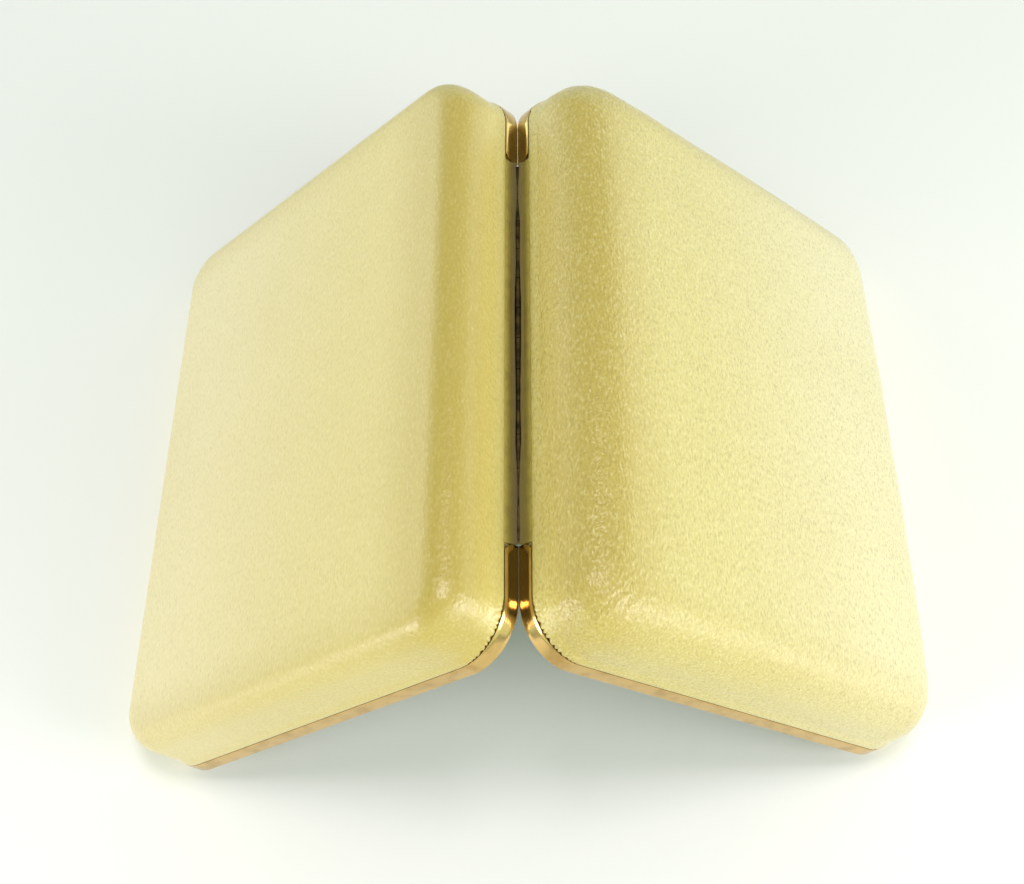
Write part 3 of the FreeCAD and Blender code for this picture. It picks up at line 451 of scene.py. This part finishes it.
def patch(plan, ring, start, offset):
    """Fills a ring with a grid. Returns the inner plan points and the quads; ring points start at start."""
    across, along, count = plan.across, plan.along, plan.count
    s = np.linspace(0, 1, across + 1)[:, None, None]
    t = np.linspace(0, 1, along + 1)[None, :, None]
    far = ring[np.arange(across + 1)][:, None]
    near = ring[2 * across + along - np.arange(across + 1)][:, None]
    front = ring[-np.arange(along + 1) % count][None]
    back = ring[across + np.arange(along + 1)][None]
    corners = (1 - s) * ((1 - t) * ring[0] + t * ring[2 * across + along])
    corners = corners + s * ((1 - t) * ring[across] + t * ring[across + along])
    grid = (1 - t) * far + t * near + (1 - s) * front + s * back - corners
    number = np.zeros((across + 1, along + 1), int)
    number[1:-1, 1:-1] = offset + np.arange((across - 1) * (along - 1)).reshape(across - 1, along - 1)
    number[:, 0] = start + np.arange(across + 1)
    number[:, -1] = start + 2 * across + along - np.arange(across + 1)
    number[0, :] = start + -np.arange(along + 1) % count
    number[-1, :] = start + across + np.arange(along + 1)
    quads = np.stack([number[:-1, :-1], number[1:, :-1], number[1:, 1:], number[:-1, 1:]], -1)
    return grid[1:-1, 1:-1].reshape(-1, 2), [tuple(quad) for quad in quads.reshape(-1, 4).tolist()]


def piece(name, half, points, faces, material, replaced):
    """A smooth mesh drawn in a tray frame, put in its place on its body."""
    mesh = bpy.data.meshes.new(name)
    mesh.from_pydata([tray(half) @ Vector(point) for point in points], [], faces)
    mesh.materials.append(material)
    mesh.validate()
    made = bpy.data.objects.new(name, mesh)
    bpy.context.scene.collection.objects.link(made)
    mesh.shade_smooth()
    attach(made, half)
    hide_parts(replaced)
    return made


# The leatherette covers.

COVER_STEPS = (96, 44, 156)
EDGE_STEPS = 22
WALL_STEPS = 5
# Radii of the rounded edge at the front, the two ends and the back, before the bend is eased.
EDGE_RADII = {"base": (5.5 * MM, 6.4 * MM, 8.3 * MM), "lid": (13.5 * MM, 12 * MM, 12.5 * MM)}
EDGE_EASE = 1.2
CORNER_WIDEN = {"base": 0.15, "lid": 0.45}
CROWN_CURVE = {"base": 0.0, "lid": 1 / 1.6}
WAVE_HEIGHT = {"base": 0.06 * MM, "lid": 0.16 * MM}
WAVE_LENGTH = {"base": 26 * MM, "lid": 17 * MM}
CREASE_HEIGHT = {"base": 0.02 * MM, "lid": 0.06 * MM}
CREASES_PER_CORNER = 11
CREASE_WANDER = 2.7
CREASE_WANDER_LENGTH = 6 * MM
# Each half's swells, and the creases, read the noise from a place of their own.
WAVE_SEED = {"base": 4, "lid": 3}
CREASE_SEED = 9
# Rows of the tuck behind the rim: height in mm, share of the groove's depth. Above the rim's edge the
# leatherette puffs out, level with the gilt.
GROOVE = (
    (0.7, 0.05), (2.6, 0.1), (3.3, 0.2), (3.58, 0.05), (3.62, -0.3), (3.64, -0.68),
    (3.72, -0.84), (3.9, -0.9), (4.3, -0.88), (4.9, -0.6), (5.6, -0.2), (6.4, 0.0),
)
GROOVE_DEPTH = 0.5 * MM
GROOVE_TOP = GROOVE[-1][0] * MM
LEAST_WALL = GROOVE_TOP + MM
PLEAT_PITCH = 1.3 * MM
PLEAT_DEPTH = 0.5 * MM
PLEAT_FADE = 1.1 * MM
PLEAT_WANDER = 0.3 * MM
PLEAT_WANDER_RATE = 1.9


def waves(points, length, seed):
    """Slow swells, one value for each point."""
    shift = Vector((seed, seed, seed))
    return np.array([noise.noise(Vector(point) / length + shift) for point in points])


def rounded_edge(lean):
    """Turns of the surface from a wall to the main face, and how far in and up each lies, from 0 to 1.

    The bend starts and ends gently, and stops short of level by the main face's lean.
    """
    share = np.linspace(0, 1, EDGE_STEPS + 1)[:, None]
    turn = DRAFT + (math.pi / 2 - DRAFT - lean) * share**2 * (3 - 2 * share)
    legs = []
    for part in (np.sin(turn), np.cos(turn)):
        steps = (part[1:] + part[:-1]) / 2
        leg = np.concatenate([np.zeros((1, len(lean))), np.cumsum(steps, 0)])
        legs.append(leg / leg[-1])
    return turn, *legs


def corner_pleats(plan):
    """Uneven little pleats round the corners, from 0 to 1."""
    along_bend = (plan.angle % (math.pi / 2)) * CORNER
    uneven = along_bend + PLEAT_WANDER * np.sin(PLEAT_WANDER_RATE * along_bend / PLEAT_PITCH)
    return (0.5 + 0.5 * np.cos(2 * math.pi * uneven / PLEAT_PITCH)) ** 2 * np.sqrt(plan.bend())


def cover_rows(plan, radius, top, lean):
    """Rows from the tuck up to the main face: inset, height, turn of the surface, freedom to swell."""
    rows = []
    pleats = corner_pleats(plan)
    for height, share in GROOVE:
        w = height * MM
        fade = max(0.0, 1 - abs(w - RIM_HEIGHT) / PLEAT_FADE)
        rows.append((w * SLOPE + share * GROOVE_DEPTH + fade * PLEAT_DEPTH * pleats, w, 0.0, 0.0))
    wall_top = np.maximum(top - radius, LEAST_WALL)
    for share in np.linspace(0, 1, WALL_STEPS + 1)[1:-1]:
        w = GROOVE_TOP + (wall_top - GROOVE_TOP) * share
        rows.append((w * SLOPE, w, 0.0, share))
    foot = wall_top * SLOPE
    for turn, inward, upward in zip(*rounded_edge(lean)):
        rows.append((foot + (radius - foot) * inward, wall_top + (top - wall_top) * upward, turn, 1.0))
    return rows


def cover(half):
    """A half's leatherette, from its tuck behind the rim up over the main face."""
    label = f"{half}_cover"
    depth = reach(label, half)[1][2]
    middle = ((BACK + FRONT) / 2, 0)
    outline = (BACK + COVER_INSET, FRONT - COVER_INSET, SIDE - COVER_INSET, CORNER - COVER_INSET)
    plan = Plan(*outline, *COVER_STEPS, CORNER_WIDEN[half])

    def crown(places):
        return depth - ((places - middle) ** 2).sum(1) * CROWN_CURVE[half] / 2

    radius = plan.by_side(*EDGE_RADII[half]) * EDGE_EASE
    brink = plan.walk(radius)
    lean = ((brink - middle) * plan.out).sum(1) * CROWN_CURVE[half]
    rows = cover_rows(plan, radius, crown(brink), lean)
    points = []
    pushes = []
    creases = []
    for inset, w, turn, freedom in rows:
        row = lift(plan.walk(inset), w)
        tilt = np.broadcast_to(turn, plan.count)
        points.append(row)
        pushes.append(lift(plan.out * np.cos(tilt)[:, None], np.sin(tilt)) * freedom)
        wander = CREASE_WANDER * waves(row, CREASE_WANDER_LENGTH, CREASE_SEED)
        strength = freedom * np.sqrt(np.maximum(np.cos(turn), 0)) * plan.bend()
        creases.append(np.sin(2 * CREASES_PER_CORNER * plan.angle + wander) * strength)
    ring = points[-1][:, :2]
    inner, fill = patch(plan, ring, (len(rows) - 1) * plan.count, len(rows) * plan.count)
    points = np.concatenate([*points, lift(inner, crown(inner))])
    pushes = np.concatenate([*pushes, np.tile((0, 0, 1.0), (len(inner), 1))])
    creases = np.concatenate([*creases, np.zeros(len(inner))])
    swells = waves(points, WAVE_LENGTH[half], WAVE_SEED[half])
    swells += waves(points, WAVE_LENGTH[half] / 3, WAVE_SEED[half] + 1) / 4
    push = swells * WAVE_HEIGHT[half] + creases * CREASE_HEIGHT[half]
    points = points + pushes * push[:, None]
    faces = strips(len(rows), plan.count) + fill
    made = piece(f"{half}_cover_leatherette", half, points, faces, CREAM[half], label)
    thicken = made.modifiers.new("thickness", "SOLIDIFY")
    thicken.thickness = COVER_THICKNESS
    thicken.offset = -1


# The gilt rims.

RIM_STEPS = (40, 12, 16)
RIM_THICKNESS = 0.45 * MM
RIM_WIDTH = 2.7 * MM
RIM_INNER_HEIGHT = 2.2 * MM
RIM_ROLL = 0.02 * MM
RIM_TIP = 0.06 * MM
RIM_CORE = 0.06 * MM
RIM_HOLLOW = 0.03 * MM
RIM_SHARP_ANGLE = math.radians(40)
ROLL_STEPS = 5


def back_slope(height):
    """How far the drafted outside leans in at a height."""
    return (height - RIM_FLOOR) * SLOPE


def rim_section():
    """The channel's outside and inside, as matching lines of (inset, height) from tip to tip."""
    outside = []
    inside = []

    def pair(out_inset, out_height, in_inset, in_height):
        outside.append((out_inset, out_height))
        inside.append((in_inset, in_height))

    tip = back_slope(RIM_HEIGHT)
    for share in (1.0, 0.5, 0.0):
        height = RIM_HEIGHT - RIM_TIP * (1 - math.sqrt(1 - (1 - share) ** 2))
        pair(tip + RIM_TIP * share, height, tip + RIM_THICKNESS - RIM_TIP * share, height)
    for share in (0.75, 0.5, 0.25):
        height = RIM_FLOOR + RIM_ROLL + (RIM_HEIGHT - RIM_FLOOR - RIM_ROLL) * share
        belly = RIM_HOLLOW * (2 * share - 1) ** 2
        pair(back_slope(height) + belly, height, back_slope(height) + RIM_THICKNESS, height)
    turns = [math.pi / 2 * step / ROLL_STEPS for step in range(ROLL_STEPS + 1)]
    core = RIM_FLOOR + RIM_THICKNESS + RIM_CORE
    for turn in turns:
        inward, down = 1 - math.cos(turn), math.sin(turn)
        low = RIM_FLOOR + RIM_ROLL * (1 - down)
        pair(RIM_ROLL * inward, low, RIM_THICKNESS + RIM_CORE * inward, core - RIM_CORE * down)
    inner = RIM_WIDTH - RIM_THICKNESS
    for turn in reversed(turns):
        inward, down = 1 - math.cos(turn), math.sin(turn)
        low = RIM_FLOOR + RIM_ROLL * (1 - down)
        pair(RIM_WIDTH - RIM_ROLL * inward, low, inner - RIM_CORE * inward, core - RIM_CORE * down)
    pair(RIM_WIDTH, RIM_INNER_HEIGHT - RIM_TIP, inner, RIM_INNER_HEIGHT - RIM_TIP)
    pair(RIM_WIDTH - RIM_TIP, RIM_INNER_HEIGHT, inner + RIM_TIP, RIM_INNER_HEIGHT)
    return outside, inside


def rim(half):
    """A half's gilt channel, from one end of the slit round the front to the other."""
    bend_steps, _, along_steps = RIM_STEPS
    plan = Plan(BACK - RIM_MEET, FRONT, SIDE, CORNER, *RIM_STEPS)
    start = plan.across + along_steps + bend_steps // 2
    order = (start + np.arange(plan.count - along_steps + 1)) % plan.count
    outside, inside = rim_section()
    section = outside + inside[::-1]
    lines = []
    for inset, height in section:
        path = plan.walk(inset)[order]
        clip = max(0.0, height - (RIM_HEIGHT - RIM_CLIP))
        ends = [(path[0][0], -RIM_END - clip), (path[0][0], -RIM_END - RIM_CLIP - MM)]
        closing = [(x, -y) for x, y in reversed(ends)]
        lines.append(lift(np.concatenate([ends, path, closing]), height))
    stations = len(lines[0])
    count = len(section)
    points = np.stack(lines, 1).reshape(-1, 3)
    faces = strips(stations, count)
    for row in (0, stations - 1):
        for i in range(len(outside) - 1):
            quad = [row * count + place for place in (i, i + 1, count - 2 - i, count - 1 - i)]
            faces.append(tuple(quad if row else reversed(quad)))
    made = piece(f"{half}_rim_gilt", half, points, faces, GILT, f"{half}_rim")
    made.data.set_sharp_from_angle(angle=RIM_SHARP_ANGLE)


# The turned leatherette between the rims' ends.

WELT_STEPS = 204
WELT_THICKNESS = 0.5 * MM
WELT_SINK = 0.07 * MM
WELT_CLEARANCE = 0.05 * MM
# Rows of the turned edge from its end behind the cover down to the shoulder: height, depth behind the
# rim's outside.
TUCK = (
    (3.2 * MM, COVER_INSET + WELT_THICKNESS),
    (3.75 * MM, COVER_INSET + 0.12 * MM),
    (3.6 * MM, WELT_SINK + 0.1 * MM),
    (3.4 * MM, WELT_SINK + 0.02 * MM),
    (2.8 * MM, WELT_SINK),
)
SHOULDER_HEIGHT = 2.1 * MM
WELT_FOOT_HEIGHT = 1.6 * MM
LIP_HEIGHT = 0.97 * MM
LIP_THICKNESS = 0.26 * MM
LIP_STEPS = 8
LIP_BOW = 0.75 * MM
LIP_ROUND = 0.02 * MM
LIP_UNDERSIDE = 0.7 * MM
LIP_LEAST_GAP = 0.04 * MM
RIPPLE_HEIGHT = 0.05 * MM
RIPPLE_LENGTH = 2.5 * MM
RIPPLE_SEED = {"base": 4, "lid": 3}
# How far each lip stays from the middle of the slit, in mm, along the hinge from the near end.
SLIT = (
    (-51.0, 0.20), (-47.5, 0.28), (-44.5, 0.25), (-40.0, 0.20), (-36.0, 0.22), (-32.0, 0.35), (-27.0, 0.62),
    (-22.0, 0.55), (-17.0, 0.48), (-11.0, 0.55), (-4.0, 0.66), (3.0, 0.70), (10.0, 0.72), (16.0, 0.58),
    (21.5, 0.42), (27.0, 0.50), (33.0, 0.52), (37.0, 0.30), (40.0, 0.13), (44.0, 0.14), (47.0, 0.34),
    (49.5, 0.40), (51.0, 0.15),
)


def lip_gap(half, y):
    """How far a lip stays from the middle of the slit at a place along the hinge."""
    places, gaps = zip(*SLIT)
    ripple = RIPPLE_HEIGHT * noise.noise(Vector((y / RIPPLE_LENGTH, RIPPLE_SEED[half], 0)))
    return max(LIP_LEAST_GAP, float(np.interp(y / MM, places, gaps)) * MM + ripple)


def on_back_wall(height, sink):
    """A place in the tray's u and w, on the back wall and sunk behind the rim's outside."""
    return BACK + back_slope(height) + sink, height


def from_axis(aside, above):
    """A place in the tray's u and w, given beside and above the hinge axis while the case stands open."""
    sine, cosine = math.sin(OPENING / 2), math.cos(OPENING / 2)
    return aside * sine - above * cosine, aside * cosine + above * sine


def welt_section(gap):
    """The turned edge's outline, down the back wall to the lip over the slit and back below it."""
    outline = [on_back_wall(*row) for row in TUCK]
    shoulder = on_back_wall(SHOULDER_HEIGHT, WELT_SINK)
    knee = from_axis(gap + LIP_BOW, LIP_HEIGHT - LIP_ROUND)
    lip = from_axis(gap, LIP_HEIGHT)
    for share in np.linspace(0, 1, LIP_STEPS + 1):
        weights = ((1 - share) ** 2, 2 * share * (1 - share), share**2)
        outline.append(tuple(np.dot(weights, (shoulder, knee, lip))))
    outline.append(from_axis(gap - LIP_ROUND, LIP_HEIGHT - LIP_THICKNESS / 3))
    outline.append(from_axis(gap + LIP_ROUND, LIP_HEIGHT - LIP_THICKNESS / 2))
    outline.append(from_axis(gap + LIP_UNDERSIDE, LIP_HEIGHT - LIP_THICKNESS))
    outline.append(on_back_wall(WELT_FOOT_HEIGHT, COVER_INSET + WELT_THICKNESS))
    return outline


def welt(half):
    """A half's turned edge along the slit, with its cut edge showing under the lip."""
    rows = []
    end = RIM_END - WELT_CLEARANCE
    for v in np.linspace(-end, end, WELT_STEPS + 1):
        gap = lip_gap(half, v if half == "lid" else -v)
        rows.append([(u, v, w) for u, w in welt_section(gap)])
    count = len(rows[0])
    walls = strips(len(rows), count)
    ends = [tuple(range(count - 1, -1, -1)), tuple((len(rows) - 1) * count + i for i in range(count))]
    faces = [face[::-1] for face in walls + ends]
    points = np.array(rows).reshape(-1, 3)
    name = f"{half}_welt_leatherette"
    made = piece(name, half, points, faces, TURNED_EDGE[half], f"{half}_welt")
    made.data.materials.append(RAW_EDGE)
    cut = len(TUCK) + LIP_STEPS
    for polygon in made.data.polygons[: len(walls)]:
        if polygon.index % count in (cut, cut + 1):
            polygon.material_index = 1


# The padded floor panels.

PAD_STEPS = (12, 40, 56)
PAD_CORNER = 10 * MM
PAD_DRAW_IN = 1.5 * MM
# Rows from the pad's back to its crowned face: inset in mm, share of the thickness.
PAD_ROWS = ((1.6, 0.04), (0.6, 0.18), (0.35, 0.4), (0.8, 0.62), (2.2, 0.8), (5.5, 0.9))
PAD_MODEL_SCALE = 10
PAD_VOXEL = 1.9 * MM
PAD_SWELL = 0.7 * MM
PAD_PRESSURE = 4
CLOTH_FRAMES = 20


def bake(made):
    """Makes what the modifiers show the object's own mesh."""
    graph = bpy.context.evaluated_depsgraph_get()
    shown = bpy.data.meshes.new_from_object(made.evaluated_get(graph))
    made.modifiers.clear()
    old = made.data
    made.data = shown
    bpy.data.meshes.remove(old)


def vertex_places(made):
    """The places of an object's vertices, one row for each."""
    return np.array([vertex.co for vertex in made.data.vertices])


def swell(made):
    """Blows the pad up as cloth, at a larger scale, and keeps each point near where it was."""
    made.data.transform(Matrix.Scale(PAD_MODEL_SCALE, 4))
    remesh = made.modifiers.new("even", "REMESH")
    remesh.mode = "VOXEL"
    remesh.voxel_size = PAD_VOXEL * PAD_MODEL_SCALE
    bake(made)
    start = vertex_places(made)
    cloth = made.modifiers.new("cloth", "CLOTH")
    cloth.settings.use_pressure = True
    cloth.settings.uniform_pressure_force = PAD_PRESSURE
    cloth.settings.effector_weights.gravity = 0
    scene = bpy.context.scene
    for step in range(1, CLOTH_FRAMES + 1):
        scene.frame_set(step)
    bake(made)
    scene.frame_set(1)
    move = vertex_places(made) - start
    far = np.linalg.norm(move, axis=1, keepdims=True)
    limit = PAD_SWELL * PAD_MODEL_SCALE
    move *= np.minimum(1, limit / np.maximum(far, limit / 1000))
    made.data.vertices.foreach_set("co", (start + move).astype(np.float32).ravel())
    made.data.transform(Matrix.Scale(1 / PAD_MODEL_SCALE, 4))
    made.data.update()


def pad(half):
    label = f"{half}_pad"
    low, high = reach(label, half)
    plan = Plan(low[0], high[0], high[1], PAD_CORNER, *PAD_STEPS)
    waist = PAD_DRAW_IN * 4 * plan.between * (1 - plan.between)
    thick = high[2] - low[2]
    rows = [lift(plan.walk(inset * MM + waist), high[2] - thick * share) for inset, share in PAD_ROWS]
    offset = len(rows) * plan.count
    under, under_fill = patch(plan, rows[0][:, :2], 0, offset)
    upper, upper_fill = patch(plan, rows[-1][:, :2], offset - plan.count, offset + len(under))
    points = np.concatenate([*rows, lift(under, rows[0][0][2]), lift(upper, rows[-1][0][2])])
    faces = strips(len(rows), plan.count) + upper_fill
    faces += [tuple(reversed(quad)) for quad in under_fill]
    made = piece(f"{half}_pad_velvet", half, points, faces, VELVET, label)
    swell(made)
    made.data.materials.clear()
    made.data.materials.append(VELVET)
    made.data.shade_smooth()
    smooth = made.modifiers.new("smooth", "SUBSURF")
    smooth.levels = 1
    smooth.render_levels = 1


for half in HALVES:
    cover(half)
    rim(half)
    welt(half)
    pad(half)

# The pieces that keep their CAD shape.

FINISHES = {
    "shell_sheet": lacquer(),
    "lining": satin(),
    "gilt": GILT,
    "hinge_metal": dull_metal("dark_brass", srgb(112, 92, 56), srgb(62, 50, 32), 0.38),
    "rivet_metal": dull_metal("dull_brass", srgb(190, 156, 96), srgb(140, 110, 64), 0.35),
    "catch_steel": dull_metal("plated_steel", srgb(196, 194, 188), srgb(150, 146, 138), 0.3),
}
for part in frame["record"]["subparts"]:
    node = frame["nodes"][part["node"]]
    if part["material_slot"] in FINISHES and not node.hide_render:
        node.data.materials.clear()
        node.data.materials.append(FINISHES[part["material_slot"]])


def bow_spring():
    """The catch's spring, a copy of its CAD mesh kept on the base; nothing here flattens it against its housing as
    the button goes in.
    """
    mesh = frame["nodes"]["catch_spring"].data.copy()
    made = bpy.data.objects.new("bow_spring", mesh)
    bpy.context.scene.collection.objects.link(made)
    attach(made, "base")
    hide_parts("catch_spring")
    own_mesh(made)


bow_spring()

# The floor, the light and the camera.

FLOOR_HALF = 6.0
ROOM_TINT = (0.84, 1.0, 0.85, 1)
BACKDROP = (1.0, 1.0, 0.99, 1)
BACKDROP_LIGHT = 0.95
HORIZON_LIGHT = 1.28
OVERHEAD_LIGHT = 0.16
OVERHEAD_START = 0.1
OVERHEAD_FULL = 0.88
LAMP_TARGET = Vector((0, 0, 0.04))
# Each lamp's place, width and height, power and colour.
LAMPS = {
    "left_window": ((-0.53, -0.36, 0.26), (0.26, 0.22), 1.5, (1.0, 0.93, 0.97)),
    "right_window": ((0.53, -0.28, 0.31), (0.26, 0.22), 1.7, (1.0, 0.94, 0.94)),
    "front_window": ((0.4, -0.85, 0.75), (1.2, 0.8), 2.0, (0.87, 1.0, 0.88)),
    "top_window": ((0.1, 0.04, 1.28), (0.35, 0.35), 5.3, (1.0, 0.93, 0.96)),
    "left_wall": ((-0.9, 0.5, 0.25), (0.8, 0.4), 1.1, (1.0, 0.94, 0.96)),
    "right_wall": ((0.9, 0.5, 0.25), (0.8, 0.4), 0.8, (1.0, 0.97, 0.96)),
}


def stage_floor():
    """A wide flat floor under the object."""
    mesh = bpy.data.meshes.new("floor")
    corners = [(x * FLOOR_HALF, y * FLOOR_HALF, 0) for x, y in ((-1, -1), (1, -1), (1, 1), (-1, 1))]
    mesh.from_pydata(corners, [], [(0, 1, 2, 3)])
    mesh.materials.append(table_top())
    floor = bpy.data.objects.new("floor", mesh)
    bpy.context.scene.collection.objects.link(floor)


def panel(name, place, size, power, colour):
    """A rectangular lamp, aimed at the object."""
    lamp = bpy.data.lights.new(name, "AREA")
    lamp.shape = "RECTANGLE"
    lamp.size, lamp.size_y = size
    lamp.energy = power
    lamp.color = colour
    made = bpy.data.objects.new(name, lamp)
    made.location = place
    made.rotation_euler = (LAMP_TARGET - Vector(place)).to_track_quat("-Z", "Y").to_euler()
    bpy.context.scene.collection.objects.link(made)


def room_light():
    """A pale room: bright round the horizon, dim overhead, and plain white behind the object."""
    world = bpy.data.worlds.new("room")
    world.use_nodes = True
    tree = world.node_tree
    background = tree.nodes["Background"]
    direction = tree.nodes.new("ShaderNodeTexCoord").outputs["Generated"]
    split = tree.nodes.new("ShaderNodeSeparateXYZ")
    tree.links.new(direction, split.inputs[0])
    fall = tree.nodes.new("ShaderNodeMapRange")
    fall.interpolation_type = "SMOOTHSTEP"
    fall.inputs["From Min"].default_value = OVERHEAD_START
    fall.inputs["From Max"].default_value = OVERHEAD_FULL
    fall.inputs["To Min"].default_value = HORIZON_LIGHT
    fall.inputs["To Max"].default_value = OVERHEAD_LIGHT
    tree.links.new(split.outputs["Z"], fall.inputs["Value"])
    in_view = tree.nodes.new("ShaderNodeLightPath").outputs["Is Camera Ray"]
    strength = tree.nodes.new("ShaderNodeMix")
    tree.links.new(in_view, strength.inputs[0])
    tree.links.new(fall.outputs[0], strength.inputs[2])
    strength.inputs[3].default_value = BACKDROP_LIGHT
    tree.links.new(strength.outputs[0], background.inputs["Strength"])
    colour = tree.nodes.new("ShaderNodeMix")
    colour.data_type = "RGBA"
    tree.links.new(in_view, colour.inputs[0])
    colour.inputs[6].default_value = ROOM_TINT
    colour.inputs[7].default_value = BACKDROP
    tree.links.new(colour.outputs[2], background.inputs["Color"])
    bpy.context.scene.world = world


stage_floor()
room_light()
for name, lamp in LAMPS.items():
    panel(name, *lamp)

# The camera, fitted to the photograph's outlines. Its optical axis is in pixels of the photograph.
PHOTO_WIDTH = 1024
PHOTO_HEIGHT = 884
OPTICAL_AXIS = (560.65, 470.58)
SENSOR_WIDTH = 36
FOCAL_LENGTH = 45.657
CAMERA_PLACE = (0.011047, -0.166414, 0.313231)
CAMERA_TURN = (29.263, 1.129, -1.053)
NEAREST_SEEN = 0.01

camera_data = bpy.data.cameras.new("camera")
camera_data.sensor_fit = "HORIZONTAL"
camera_data.sensor_width = SENSOR_WIDTH
camera_data.lens = FOCAL_LENGTH
camera_data.shift_x = (PHOTO_WIDTH / 2 - OPTICAL_AXIS[0]) / PHOTO_WIDTH
camera_data.shift_y = (OPTICAL_AXIS[1] - PHOTO_HEIGHT / 2) / PHOTO_WIDTH
camera_data.clip_start = NEAREST_SEEN
camera = bpy.data.objects.new("camera", camera_data)
camera.location = CAMERA_PLACE
camera.rotation_euler = [math.radians(angle) for angle in CAMERA_TURN]
bpy.context.scene.collection.objects.link(camera)
bpy.context.scene.camera = camera
bpy.context.scene.view_settings.view_transform = "Standard"
